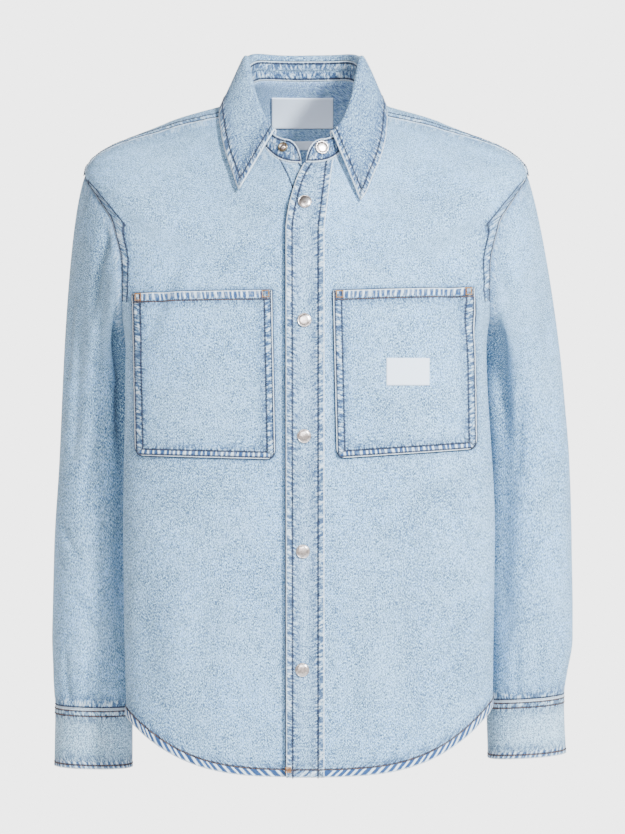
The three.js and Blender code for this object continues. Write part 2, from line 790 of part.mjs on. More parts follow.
// Snaps: a domed cap, and an open stud with a ring and a post, from radius and height.
const turned = (profile) =>
  new THREE.LatheGeometry(profile.map(([x, y]) => new THREE.Vector2(x, y)), SNAP_SIDES);
function snapCap() {
  const r = SNAP_DIAMETER / 2;
  const h = SNAP_HEIGHT;
  return turned([
    [0, 0],
    [r * 0.9, 0],
    [r, h * 0.3],
    [r * 0.93, h * 0.62],
    [r * 0.6, h * 0.9],
    [0, h],
  ]);
}
function snapStud() {
  const r = STUD_DIAMETER / 2;
  return turned([
    [0, 0],
    [r, 0],
    [r, 1.1],
    [r * 0.72, 1.5],
    [r * 0.5, 0.7],
    [r * 0.34, 0.8],
    [r * 0.34, 2.2],
    [0, 2.5],
  ]);
}

const denim = { color: 0xb4cbe0, roughness: 0.92, metalness: 0 };
const brightMetal = { color: 0xbfb6ae, roughness: 0.35, metalness: 0.9 };
const paleTape = { color: 0xe4e5ee, roughness: 0.8, metalness: 0 };
const shirt = new THREE.Group();
shirt.name = "denim_shirt";

function sew(name, geometry, look) {
  const mesh = new THREE.Mesh(geometry, new THREE.MeshStandardMaterial(look));
  mesh.name = name;
  shirt.add(mesh);
  return mesh;
}
function press(name, geometry, point, out, lift) {
  const mesh = sew(name, geometry, brightMetal);
  mesh.position.copy(point).addScaledVector(out, lift);
  mesh.quaternion.setFromUnitVectors(vec(0, 1, 0), out.clone().normalize());
}

sew("front_left", frontPanel(1), denim);
sew("front_right", frontPanel(-1), denim);
sew("back", backPanel(), denim);
sew("yoke", yoke(), denim);
sew("sleeve_left", sleeve(1), denim);
sew("sleeve_right", sleeve(-1), denim);
sew("cuff_left", cuff(1), denim);
sew("cuff_right", cuff(-1), denim);
sew("collar_stand", stand(), denim);
sew("collar", collar(), denim);
sew("placket", placket(), denim);
sew("pocket_left", pocket("left"), denim);
sew("pocket_right", pocket("right"), denim);
sew("pocket_label", pocketPatch(), paleTape);
sew("neck_label", backLabel(NECK_LABEL), paleTape);
sew("size_label", backLabel(SIZE_LABEL), paleTape);

const capSeat = DENIM / 2 + LAYER_GAP + BAND + LAYER_GAP;
FRONT_SNAPS.forEach(({ x, z }, i) => {
  const q = onFront(x, z);
  q.point.addScaledVector(q.out, LAP);
  press(`snap_front_${i + 1}`, snapCap(), q.point, q.out, capSeat + 0.1);
});
const capAngle = angleAt(5, 17, false);
const studAngle = 2 * Math.PI + angleAt(5, -25.5, false);
press("snap_collar", snapCap(), standPoint(capAngle, 0.6), standOut(capAngle), DENIM / 2 + 0.6);
press("stud_collar", snapStud(), standPoint(studAngle, 0.6), standOut(studAngle), DENIM / 2 + 0.4);
for (const [name, side] of [["left", 1], ["right", -1]]) {
  const c = CUFF[name];
  const q = cuffPoint(side, (c.seam + c.hem) / 2, CUFF_LAP_AT + 360 + CUFF_LAP * 0.45);
  press(`snap_cuff_${name}`, snapCap(), q.point, q.out, DENIM / 2 + 0.9);
}

export default shirt;
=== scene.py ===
"""The looks of a washed denim shirt, filled out as if worn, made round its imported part.

Every panel is a thin shell on the same surface as its solid, with its seams, puckers and creases.
Lengths are millimetres until a mesh is made. The front faces -Y and the wearer's left is +X.
"""

import bpy
import numpy as np
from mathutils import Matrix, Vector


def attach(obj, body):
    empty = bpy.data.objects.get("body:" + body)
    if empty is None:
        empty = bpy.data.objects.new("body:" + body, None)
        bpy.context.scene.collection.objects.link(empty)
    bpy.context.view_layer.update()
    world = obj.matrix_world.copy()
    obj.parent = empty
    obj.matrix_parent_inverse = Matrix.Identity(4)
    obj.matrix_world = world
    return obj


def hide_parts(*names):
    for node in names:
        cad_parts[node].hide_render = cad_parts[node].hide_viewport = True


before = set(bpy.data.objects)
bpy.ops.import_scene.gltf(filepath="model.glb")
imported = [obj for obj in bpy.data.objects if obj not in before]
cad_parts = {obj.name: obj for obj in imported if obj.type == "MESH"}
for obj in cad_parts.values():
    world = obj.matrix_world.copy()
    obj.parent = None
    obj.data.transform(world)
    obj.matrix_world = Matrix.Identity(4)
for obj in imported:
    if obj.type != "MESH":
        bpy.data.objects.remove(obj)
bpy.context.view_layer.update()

MM = 0.001

# Cloth and trim
DENIM = 1.6  # wall of one panel
SEAM_GAP = 0.3
LAYER_GAP = 0.5
BAND = 1.4  # placket and pocket cloth
EDGE_ROLL = 1.8  # how far the free edge of the lapping front stands off
CREASE_GAIN = 1.35  # all the creases are this much deeper than their tables say
LABEL = 0.6
LABEL_GAP = 1.1
PLACKET_LIFT = 0.5
POCKET_GAP = 0.5
SNAP_DIAMETER = 15
SNAP_HEIGHT = 2.4
STUD_DIAMETER = 11


def table(names, rows):
    return {name: np.array([row[i] for row in rows], float) for i, name in enumerate(names.split())}


# The torso's sections, from the hem (v 0) over the armpits (2), the back yoke seam and shoulder
# tips (3), the middle of the shoulders (4) and the neck seam (5) to the top of the stand (6).
TORSO = table("v half more side_y front back front_z side_z back_z front_n back_n front_rise back_rise", [
    (0, 195, 7, -42, 114, 104, -735, -669, -742, 2.7, 1.9, 3.3, 3.3),
    (1, 197, 7, -46, 119, 104, -505, -480, -505, 2.7, 1.9, 4, 4),
    (2, 195, 0, -46, 124, 112, -281, -281, -281, 2.6, 1.9, 3, 3),
    (3, 243, 0, 16, 111, 116, -178, -86, -82, 2.2, 2.3, 2.6, 2.6),
    (4, 155, -4, 10, 96, 98, -132, -30, -21, 2.0, 2.2, 3, 3),
    (5, 70, -4.5, 3, 80, 68, -81, 0, 23.5, 2.0, 2.2, 3.2, 9),
    (6, 65, -5, 1, 74, 63, -55, 33, 45.5, 2.0, 2.8, 4, 12),
])
HEM_TILT = 4.5
FRONT_EDGE = table("v angle", [
    (0, 113), (2, 113), (2.1, 97), (2.2, 80), (2.35, 69), (2.54, 62), (2.73, 61), (2.88, 70),
    (3, 84), (4, 76), (5, 68),
])
BACK_EDGE = table("v angle", [
    (0, 113), (2, 113), (2.15, 119), (2.4, 125), (2.65, 127), (2.87, 123), (3, 116),
])
CENTRE = table("v right_front left_front placket_in placket_out", [
    (0, 19, -19, 19.5, -21),
    (3.4, 19, -19.5, 19.5, -21.5),
    (4, 16, -17, 22, -18.5),
    (4.5, 6, -10, 25, -11.5),
    (5, -5, 0, 28, -1),
])
LAP = DENIM + 0.4  # the left front lies this far out over the right one
LAP_FLAT = 30
LAP_END = 52

# Stand and collar leaf
STAND_ROUND = 17
FOLD_RADIUS = 2.6
LEAF = table("share rise left_v left_angle right_v right_angle clear", [
    (0, 2.5, 4.05, 23, 4.15, 30.3, 5),
    (0.08, 4, 4.3, 36, 4.31, 39.5, 5),
    (0.2, 6, 4.47, 57, 4.48, 60, 4.5),
    (0.32, 8, 4.57, 72, 4.56, 74, 4.5),
    (0.45, 7.5, 4.67, 92, 4.67, 92, 5),
    (0.67, 4.5, 4.72, 130, 4.72, 130, 6),
    (1, 3.5, 4.72, 180, 4.72, 180, 7),
])
LEAF_LEFT = 25.5
LEAF_RIGHT = 30.5

# Sleeve below its cap, from the cuff up
SLEEVE = table("z outer inner mid_y half_y swing", [
    (-745, 278, 193, 24, 37, 10),
    (-668, 277, 193, 25, 39, 8),
    (-640, 279, 190, 27, 47, 10),
    (-600, 280.5, 187, 30, 53, 14.5),
    (-500, 279, 184, 37, 61, 15.5),
    (-400, 273.5, 182, 42, 65, 18.5),
    (-318, 270, 180, 43, 67, 15.5),
])
SLEEVE_SQUARE = 2.2
CAP_Z = -318
CAP_INNER = 23
CAP_OUTER = 173
CUFFS = {1: {"seam": -663, "hem": -727, "tilt": 3}, -1: {"seam": -673, "hem": -739, "tilt": 1}}
CUFF_LAP_AT = 262
CUFF_LAP = 26
FRONT_CELLS = 7  # the armhole is counted in cells: up the front, over the top, down the back
TOP_CELLS = 4
BACK_CELLS = 7
TIP_CELL = 8
ALL_CELLS = FRONT_CELLS + TOP_CELLS + BACK_CELLS

# Folds of the sleeves: angle at the top and bottom, first and last height, depth and width in
# degrees. The first six are in the solid too, and the rest are the smaller ones between them.
SLEEVE_FOLDS = table("side top_at low_at top_z low_z deep wide", [
    (1, 60, 48, -250, -640, 7, 20),
    (1, 128, 118, -240, -520, 3, 13),
    (1, 330, 345, -330, -610, 4, 18),
    (-1, 55, 46, -240, -640, 8, 20),
    (-1, 118, 126, -140, -430, 5, 12),
    (-1, 235, 225, -300, -620, 4, 18),
])
SLEEVE_CREASES = table("side top_at low_at top_z low_z deep wide", [
    (1, 58, 50, -120, -400, 5.0, 14),
    (1, 104, 92, -90, -250, 3.0, 6),
    (1, 88, 70, -300, -430, 1.6, 7),
    (1, 150, 112, -395, -450, 1.5, 6),
    (1, 110, 66, -470, -540, 1.8, 8),
    (1, 96, 104, -560, -665, 1.6, 6),
    (1, 132, 126, -585, -665, 1.4, 6),
    (1, 70, 76, -600, -665, 1.3, 5),
    (1, 200, 240, -430, -560, 1.6, 9),
    (1, 265, 250, -590, -665, 1.5, 7),
    (-1, 112, 106, -80, -260, 5.0, 6),
    (-1, 92, 72, -95, -220, 4.5, 6),
    (-1, 58, 50, -110, -420, 6.0, 16),
    (-1, 98, 92, -180, -330, 2.2, 6),
    (-1, 140, 146, -200, -330, 1.8, 6),
    (-1, 82, 108, -330, -470, 1.8, 7),
    (-1, 150, 100, -455, -520, 1.4, 7),
    (-1, 118, 74, -540, -600, 1.6, 7),
    (-1, 92, 98, -590, -675, 1.5, 5),
    (-1, 128, 124, -600, -675, 1.4, 6),
    (-1, 210, 245, -420, -560, 1.6, 9),
    (-1, 270, 255, -600, -675, 1.5, 7),
])

# Creases of the body: two ends as distance from the centre line and height, how far the middle
# bows aside, depth and width. front is 1 for the front and -1 for the back.
BODY_CREASES = table("front x1 z1 x2 z2 bow deep wide", [
    (1, 178, -268, 118, -175, 6, 1.8, 9),
    (1, 188, -290, 132, -205, 5, 1.5, 8),
    (1, 165, -300, 150, -215, 4, 1.2, 8),
    (1, -176, -262, -128, -172, 5, 1.4, 9),
    (1, -184, -292, -140, -200, 5, 1.1, 8),
    (1, 60, -170, 95, -205, 3, 0.9, 9),
    (1, -58, -165, -100, -205, 3, 0.9, 9),
    (1, 186, -420, 90, -470, 8, 1.3, 14),
    (1, -180, -430, -80, -480, 8, 1.2, 14),
    (1, 110, -520, 120, -690, 6, 1.5, 16),
    (1, -95, -510, -110, -690, 6, 1.4, 16),
    (1, 170, -540, 160, -660, 5, 1.2, 12),
    (1, -165, -520, -160, -660, 5, 1.2, 12),
    (1, 50, -560, 60, -700, 3, 0.9, 12),
    (-1, 168, -240, 90, -160, 8, 1.9, 11),
    (-1, -168, -240, -95, -155, 8, 1.8, 11),
    (-1, 150, -300, 60, -250, 8, 1.4, 12),
    (-1, -150, -310, -70, -255, 8, 1.3, 12),
    (-1, 10, -120, 20, -330, 8, 1.3, 16),
    (-1, -90, -400, -60, -690, 12, 1.9, 20),
    (-1, 85, -420, 70, -690, 10, 1.8, 20),
    (-1, 150, -470, 60, -520, 8, 1.3, 14),
    (-1, -150, -480, -50, -530, 8, 1.3, 14),
])

# Pockets, labels and snaps: distance from the centre line and height
POCKETS = {
    "right": {
        "top_in": (-36, -219), "top_out": (-184, -221),
        "low_in": (-32.5, -397.5), "low_out": (-180.5, -394),
    },
    "left": {
        "top_in": (28.5, -220), "top_out": (177.5, -215),
        "low_in": (32.5, -396.5), "low_out": (180.5, -387),
    },
}
POCKET_PUFF = 1.6
POCKET_STAND = 0.8  # how far a pocket's turned edges keep it off the front
POCKET_CORNER = 11  # the bottom corners are cut off this far
POCKET_LABEL = (107, -305, 45, 29)
NECK_LABEL = (-4, -9, 70, 33)
SIZE_LABEL = (-4, -44, 40, 10)
FRONT_SNAPS = ((-1.3, -125), (-1.7, -251), (-2, -373), (-3.2, -495), (-4, -620.5))

# How each kind of seam looks on one side of it: width of the folded strip, how far it stands
# proud, insets of its stitch rows, depth and reach of its puckers, slant of the puckers, how
# strongly the wash has marked it (above 1 its strip is striped), how close together its marks
# are, and the colour of its thread.
SEAM_PARTS = ("strip", "proud", "rows", "pucker", "reach", "slant", "mark", "pace", "thread")
SEAMS = {
    kind: dict(zip(SEAM_PARTS, parts))
    for kind, *parts in (
        ("side", 8.5, 0.55, (1.6, 7.8), 0.3, 20, 0.1, 0.6, 1, "navy"),
        ("armhole", 11.0, 0.8, (1.8, 10.5), 0.45, 24, 0.15, 0.9, 1, "navy"),
        ("yoke", 9.0, 0.6, (1.6, 8.4), 0.36, 20, 0.1, 0.6, 1, "navy"),
        ("under", 0, 0, (), 0.42, 20, 0.15, 0.35, 1, "navy"),
        ("neck", 0, 0, (), 0.35, 16, 0, 0.3, 1, "navy"),
        ("hem", 8.6, 0.5, (8.4,), 0.34, 18, -1.1, 2.0, 0.72, "brown"),
        ("sleeve_end", 0, 0, (1.9,), 0.5, 22, 0.1, 0.8, 1, "navy"),
        ("cuff_top", 7.8, 0.4, (1.8, 7.4), 0.4, 20, 0.15, 0.9, 1, "brown"),
        ("cuff_end", 4.5, 0.3, (4.3,), 0.3, 12, -0.4, 1.6, 1.1, "brown"),
        ("cuff_side", 4.6, 0.3, (4.2,), 0.3, 12, 0.2, 0.8, 1, "navy"),
        ("leaf_edge", 6.2, 0.35, (6.0,), 0.34, 16, 0.3, 1.0, 1, "navy"),
        ("stand_low", 3, 0.2, (2.2,), 0.4, 16, 0, 1.0, 1, "navy"),
        ("stand_top", 3, 0.2, (2.4,), 0.34, 14, 0, 0.9, 1, "navy"),
        ("placket", 7.0, 0.3, (6.8,), 0.3, 12, 0.3, 0.9, 1, "navy"),
        ("pocket", 9.0, 0.25, (1.6, 9.0), 0.34, 16, 0.3, 1.0, 1, "navy"),
        ("pocket_low", 7.6, 0.25, (1.6, 7.4), 0.34, 16, 0.15, 1.8, 1.1, "navy"),
        ("pocket_top", 10.5, 0.45, (9.8,), 0.28, 16, 0.1, 1.7, 1.1, "brown"),
    )
}
STITCH_PITCH = 3.0
STITCH_LONG = 1.4  # half lengths
STITCH_WIDE = 0.62


def smooth(t):
    c = np.clip(t, 0, 1)
    return c * c * (3 - 2 * c)


def blend(a, b, t):
    return a + (b - a) * t


def unit(v):
    return v / np.maximum(np.linalg.norm(v, axis=-1, keepdims=True), 1e-9)


def along(rows, key, name, at):
    """A table's value at a place between its rows: monotone cubic, so it never overshoots."""
    x, y = rows[key], rows[name]
    step = np.diff(x)
    slope = np.diff(y) / step
    tangent = np.empty_like(y)
    tangent[0], tangent[-1] = slope[0], slope[-1]
    before, after = slope[:-1], slope[1:]
    same = before * after > 0
    w1 = 2 * step[1:] + step[:-1]
    w2 = step[1:] + 2 * step[:-1]
    tangent[1:-1] = 0
    tangent[1:-1][same] = (w1 + w2)[same] / (w1[same] / before[same] + w2[same] / after[same])
    at = np.clip(np.asarray(at, float), x[0], x[-1])
    i = np.clip(np.searchsorted(x, at) - 1, 0, len(x) - 2)
    h = step[i]
    t = (at - x[i]) / h
    return (
        y[i] * (1 + 2 * t) * (1 - t) ** 2
        + y[i + 1] * t * t * (3 - 2 * t)
        + h * tangent[i] * t * (1 - t) ** 2
        + h * tangent[i + 1] * t * t * (t - 1)
    )


def half_width(v, side):
    return along(TORSO, "v", "half", v) + np.where(side > 0, along(TORSO, "v", "more", v), 0)


def torso(v, a):
    """The torso's surface at section v and angle a, from the centre front towards +X."""
    v, a = np.broadcast_arrays(np.asarray(v, float), np.asarray(a, float))
    value = {name: along(TORSO, "v", name, v) for name in TORSO}
    s, c = np.sin(a), np.cos(a)
    ahead = c >= 0
    n = np.where(ahead, value["front_n"], value["back_n"])
    rise = np.where(ahead, value["front_rise"], value["back_rise"])
    u = np.abs(s) ** (2 / n)
    centre_y = np.where(ahead, -value["front"], value["back"])
    centre_z = np.where(ahead, value["front_z"], value["back_z"])
    side_z = value["side_z"] + HEM_TILT * np.sign(s) * u * np.maximum(0, 1 - v) ** 2
    half = value["half"] + np.where(s > 0, value["more"], 0)
    x = np.sign(s) * half * u
    y = blend(value["side_y"], centre_y, np.abs(c) ** (2 / n))
    z = blend(side_z, centre_z, 1 - u**rise)
    return np.stack([x, y, z], -1)


def torso_out(v, a):
    across = torso(v, a + 0.012) - torso(v, a - 0.012)
    up = torso(v + 0.01, a) - torso(v - 0.01, a)
    return unit(np.cross(across, up))


def angle_at(v, x, back=False):
    """The angle at which section v reaches a distance x from the centre line."""
    n = along(TORSO, "v", "back_n" if back else "front_n", v)
    u = np.minimum(1, np.abs(x) / half_width(v, x))
    a = np.arcsin(u ** (n / 2))
    return np.pi - np.sign(x) * a if back else np.sign(x) * a


def place_at(x, z, back=False):
    """Section and angle of the point of the front or back at distance x and height z."""
    x, z = np.broadcast_arrays(np.asarray(x, float), np.asarray(z, float))
    low, high = np.zeros_like(x), np.full_like(x, 5)
    for _ in range(30):
        v = (low + high) / 2
        below = torso(v, angle_at(v, x, back))[..., 2] < z
        low = np.where(below, v, low)
        high = np.where(below, high, v)
    return low, angle_at(low, x, back)


def front_edge(v):
    return np.radians(along(FRONT_EDGE, "v", "angle", v))


def back_edge(v):
    return np.radians(along(BACK_EDGE, "v", "angle", v))


def lap_at(x):
    return LAP * (1 - smooth((x - LAP_FLAT) / (LAP_END - LAP_FLAT)))


def edge_roll(x, v):
    """How far the free edge of the lapping front stands off the front under it."""
    return EDGE_ROLL * smooth((-6 - x) / 12) * smooth((4.5 - v) / 0.6)


def steps(length, wide=3.2, close=1.7, band=16, ends=(True, True)):
    """Shares of a length, set closer together near the ends that carry a seam."""
    if length < 3 * band:
        return np.linspace(0, 1, max(3, int(round(length / close)) + 1))
    start = np.arange(0, band, close) if ends[0] else np.arange(0, band, wide)
    end = length - (np.arange(0, band, close) if ends[1] else np.arange(0, band, wide))[::-1]
    count = int(round((end[0] - start[-1]) / wide))
    middle = np.linspace(start[-1], end[0], count + 1)[1:-1]
    return np.concatenate([start, middle, end]) / length


def evenly(curve, start, end, shares):
    """Values between two ends at which a curve is cut at given shares of its length."""
    values = np.linspace(start, end, 2400)
    points = curve(values)
    lengths = np.concatenate([[0], np.cumsum(np.linalg.norm(np.diff(points, axis=0), axis=1))])
    return np.interp(np.asarray(shares) * lengths[-1], lengths, values)


def across_rows(v, start, end, shares):
    """Angles at given shares of the length of each section v, between two angles."""
    return np.array([
        evenly(lambda a, row=row: torso(row, a), low, high, shares)
        for row, low, high in zip(v, start, end)
    ])


FRONT_SHARES = np.linspace(0, 1, 300)
FRONT_V = evenly(lambda v: torso(v, front_edge(v)), 2, 3, FRONT_SHARES)
BACK_V = evenly(lambda v: torso(v, back_edge(v)), 2, 3, FRONT_SHARES)
TOP_A = evenly(lambda a: torso(3, a), front_edge(3), back_edge(3), FRONT_SHARES)


def armhole(j):
    """Section and angle of the armhole at j cells from the armpit."""
    j = np.asarray(j, float) % ALL_CELLS
    up = np.interp(j / FRONT_CELLS, FRONT_SHARES, FRONT_V)
    down = np.interp(1 - (j - FRONT_CELLS - TOP_CELLS) / BACK_CELLS, FRONT_SHARES, BACK_V)
    top = np.interp((j - FRONT_CELLS) / TOP_CELLS, FRONT_SHARES, TOP_A)
    front = j <= FRONT_CELLS
    back = j >= FRONT_CELLS + TOP_CELLS
    v = np.where(front, up, np.where(back, down, 3.0))
    a = np.where(front, front_edge(v), np.where(back, back_edge(v), top))
    return v, a


def fold_depth(rows, side, z, t):
    """How deep the sleeve's folds are at height z and sleeve angle t."""
    depth = 0
    for i in np.flatnonzero(rows["side"] == side):
        top_z, low_z = rows["top_z"][i], rows["low_z"][i]
        down = (top_z - z) / (top_z - low_z)
        centre = blend(rows["top_at"][i], rows["low_at"][i], down)
        away = (((t - centre) % 360) + 540) % 360 - 180
        ends = smooth(down * 4) * smooth((1 - down) * 4)
        depth = depth + rows["deep"][i] * ends * np.exp(-((away / rows["wide"][i]) ** 2))
    return depth


def tube(side, z, t):
    """The sleeve's hanging tube, as at the wearer's left, at height z and sleeve angle t."""
    z, t = np.broadcast_arrays(np.asarray(z, float), np.asarray(t, float))
    value = {name: along(SLEEVE, "z", name, z) for name in SLEEVE}
    swing = value["swing"] if side > 0 else 0
    half_x = (value["outer"] - value["inner"]) / 2
    mid_x = (value["outer"] + value["inner"]) / 2 + swing
    c, s = np.cos(np.radians(t)), np.sin(np.radians(t))
    power = 2 / SLEEVE_SQUARE
    shrink = 1 - fold_depth(SLEEVE_FOLDS, side, z, t) / 60
    return np.stack([
        mid_x - half_x * shrink * np.sign(c) * np.abs(c) ** power,
        value["mid_y"] - value["half_y"] * shrink * np.sign(s) * np.abs(s) ** power,
        z - CUFFS[side]["tilt"] * smooth((CAP_Z - z) / 200) * c,
    ], -1)


def sleeve_angle(j):
    first = blend(CAP_INNER, CAP_OUTER, j / TIP_CELL)
    second = blend(CAP_OUTER, 360 + CAP_INNER, (j - TIP_CELL) / (ALL_CELLS - TIP_CELL))
    return np.where(j <= TIP_CELL, first, second)


def sleeve_surface(side, j, cap_shares, tube_z):
    """The sleeve's points: its cap leaves the armhole and turns to hang as a tube."""
    v, a = armhole(j)
    start = torso(v, a)
    angle = sleeve_angle(j)
    end = tube(side, CAP_Z, angle)
    below = unit(tube(side, CAP_Z - 10, angle) - end)
    low_part = smooth((start[:, 2] + 281) / 110)[:, None]
    tip_part = smooth((start[:, 2] + 170) / 80)[:, None]
    across = (start[:, 1] - 15) / 65
    flat = np.ones_like(across)
    ahead = np.stack([0.93 * flat, 0.1 * flat, -0.35 * flat], -1)
    ahead = blend(ahead, np.stack([0.75 * flat, 0.1 + 0.4 * across, -0.6 * flat], -1), low_part)
    ahead = blend(ahead, np.stack([0.33 * flat, 0.05 + 0.3 * across, -0.86 * flat], -1), tip_part)
    reach = blend(0.95, 0.55, low_part)
    span = np.linalg.norm(end - start, axis=1)[:, None]
    rows = []
    for share in cap_shares:
        t = share ** 1.15
        rows.append(
            start * (1 + 2 * t) * (1 - t) ** 2
            + end * t * t * (3 - 2 * t)
            + unit(ahead) * reach * span * t * (1 - t) ** 2
            + below * 0.9 * span * t * t * (t - 1)
        )
    for z in tube_z:
        rows.append(tube(side, z, angle))
    return np.array(rows)


def mirrored(points, side):
    return points * np.array([side, 1, 1])


def grid_out(points, closed, sign):
    """Directions out of a grid of cloth, from its neighbouring points."""
    down = np.gradient(points, axis=0)
    if closed:
        round_ = np.roll(points, -1, axis=1) - np.roll(points, 1, axis=1)
    else:
        round_ = np.gradient(points, axis=1)
    return unit(np.cross(round_, down)) * sign


def mitre(a, b):
    m = unit(a + b)
    return m / np.maximum(0.5, np.sum(m * a, axis=-1, keepdims=True))


def stand_out(a):
    up = torso(6, a) - torso(5, a)
    round_ = torso(5.5, a + 0.02) - torso(5.5, a - 0.02)
    return unit(np.cross(round_, up))


def wave(run, seed):
    """An uneven ripple along a seam, about one pucker every 11 mm."""
    rng = np.random.default_rng(seed)
    lengths = np.array([9.5, 12.5, 17.0, 27.0])
    sizes = np.array([0.35, 0.5, 0.45, 0.35])
    starts = rng.uniform(0, 2 * np.pi, 4)
    ripple = sum(k * np.sin(2 * np.pi * run / w + s) for w, k, s in zip(lengths, sizes, starts))
    loud = 0.65 + 0.35 * np.sin(2 * np.pi * run / 83 + starts[0]) * np.sin(2 * np.pi * run / 47 + starts[1])
    return ripple * loud


class Cloth:
    """One piece of cloth: the middle of its wall as a grid, and how high its faces stand."""

    def __init__(self, name, points, sign=1, closed=False, wall=DENIM):
        self.name = name
        self.points = points
        self.closed = closed
        self.wall = wall
        self.out = grid_out(points, closed, sign)
        self.sign = sign
        self.shape = points.shape[:2]
        self.height = np.zeros(self.shape)
        self.sag = np.zeros(self.shape)
        self.seam = np.zeros(self.shape + (3,))
        self.seam[..., 0] = 200
        self.row = np.full(self.shape, 50.0)
        # distance from what lies on the panel, which drives the painted shade beside it
        self.bare = np.full(self.shape, 50.0)
        self.insets = np.full(self.shape + (3,), -50.0)
        along_row = np.linalg.norm(np.diff(points, axis=1), axis=2)
        along_column = np.linalg.norm(np.diff(points, axis=0), axis=2)
        zero_column = np.zeros((self.shape[0], 1))
        zero_row = np.zeros((1, self.shape[1]))
        u = np.concatenate([zero_column, np.cumsum(along_row, axis=1)], axis=1)
        v = np.concatenate([zero_row, np.cumsum(along_column, axis=0)], axis=0)
        self.u, self.v = u, v
        self.distance = {
            "start": u * self.slant(points, 1),
            "end": (u[:, -1:] - u) * self.slant(points[:, ::-1], 1),
            "low": v * self.slant(points.transpose(1, 0, 2), 0),
            "high": (v[-1:] - v) * self.slant(points[::-1].transpose(1, 0, 2), 0),
        }
        self.run = {
            "start": np.broadcast_to(v[:, :1], self.shape),
            "end": np.broadcast_to(v[:, -1:], self.shape),
            "low": np.broadcast_to(u[:1], self.shape),
            "high": np.broadcast_to(u[-1:], self.shape),
        }
        self.threads = []

    def slant(self, points, axis):
        """How much nearer to its edge a point is than the length of its row of the grid says."""
        tangent = unit(np.gradient(points[:, 0], axis=0))
        inward = unit(points[:, 1] - points[:, 0])
        share = np.linalg.norm(np.cross(tangent, inward), axis=1)
        share = np.convolve(np.pad(share, 3, "edge"), np.ones(7) / 7, "valid").clip(0.35, 1)
        return share[:, None] if axis else share[None, :]

    def sew(self, edge, kind, part=None, rows=True, trim=(), mark=None):
        """Raises one kind of seam along an edge, or along the part of it where part is 1."""
        seam = SEAMS[kind]
        upright = edge in ("start", "end")
        if part is None:
            part = np.ones(self.shape[0] if upright else self.shape[1])
        share = part[:, None] if upright else part[None, :]
        d, run = self.distance[edge], self.run[edge]
        seed = sum(map(ord, self.name + edge + kind))
        strip = seam["proud"] * (1 - smooth((d - seam["strip"]) / 1.6)) if seam["strip"] else 0 * d
        for row in seam["rows"]:
            strip = strip - 0.28 * np.exp(-(((d - row) / 0.9) ** 2))
        ripple = wave(run + seam["slant"] * d, seed) * np.exp(-((d / seam["reach"]) ** 2))
        self.height += share * (strip + seam["pucker"] * ripple)
        nearer = (share * np.ones_like(d) > 0.5) & (d < self.seam[..., 0])
        shifted = (run + seam["slant"] * d) * seam["pace"] + seed % 97 * 31.0
        self.insets[nearer] = (seam["rows"] + (-50.0,) * 3)[:3]
        strength = seam["mark"] if mark is None else mark
        self.seam[nearer] = np.stack([d, shifted, strength * share * np.ones_like(d)], -1)[nearer]
        if rows:
            for row in seam["rows"]:
                self.stitch(edge, row, seam["thread"], part, trim)

    def stitch(self, edge, inset, thread, part=None, trim=(), face="outer"):
        """Notes a row of stitches at an inset from an edge, for its thread and for its mark."""
        upright = edge in ("start", "end")
        if part is None:
            part = np.ones(self.shape[0] if upright else self.shape[1])
        self.threads.append((edge, inset, part, thread, face, trim))
        if face == "outer":
            share = part[:, None] if upright else part[None, :]
            near = np.abs(self.distance[edge] - inset) + 50 * (1 - share)
            for name, least in trim:
                near = near + 50 * (self.distance[name] < least - 1)
            self.row = np.minimum(self.row, near)

    def border(self):
        """The points round the panel's four edges, as seen from the front."""
        grid = self.points[..., [0, 2]]
        return np.concatenate([grid[0], grid[1:, -1], grid[-1, -2::-1], grid[-2:0:-1, 0]])

    def lies_under(self, border):
        """Notes how far each point of the panel's front is outside a border that lies on it, for the painted shade
        beside it.
        """
        grid = self.points[..., [0, 2]].reshape(-1, 2)
        after = np.roll(border, -1, axis=0)
        nearest = np.full(len(grid), 1e9)
        inside = np.zeros(len(grid), bool)
        for a, b in zip(border, after):
            along_it = b - a
            t = ((grid - a) @ along_it / max(along_it @ along_it, 1e-9)).clip(0, 1)
            nearest = np.minimum(nearest, np.linalg.norm(grid - a - t[:, None] * along_it, axis=1))
            crossed = (a[1] > grid[:, 1]) != (b[1] > grid[:, 1])
            rise = along_it[1] if abs(along_it[1]) > 1e-9 else 1e-9
            inside ^= crossed & (grid[:, 0] < a[0] + (grid[:, 1] - a[1]) * along_it[0] / rise)
        distance = np.where(inside, -nearest, nearest).reshape(self.shape)
        self.bare = np.where(self.out[..., 1] < 0, np.minimum(self.bare, distance), self.bare)

    def crease(self, depth):
        """Moves the whole wall in by depth."""
        self.sag = self.sag + depth

    def faces(self):
        """The outer and inner faces of the wall."""
        middle = self.points - self.out * self.sag[..., None]
        outer = middle + self.out * (self.wall / 2 + self.height)[..., None]
        inner = middle - self.out * (self.wall / 2)
        return outer, inner

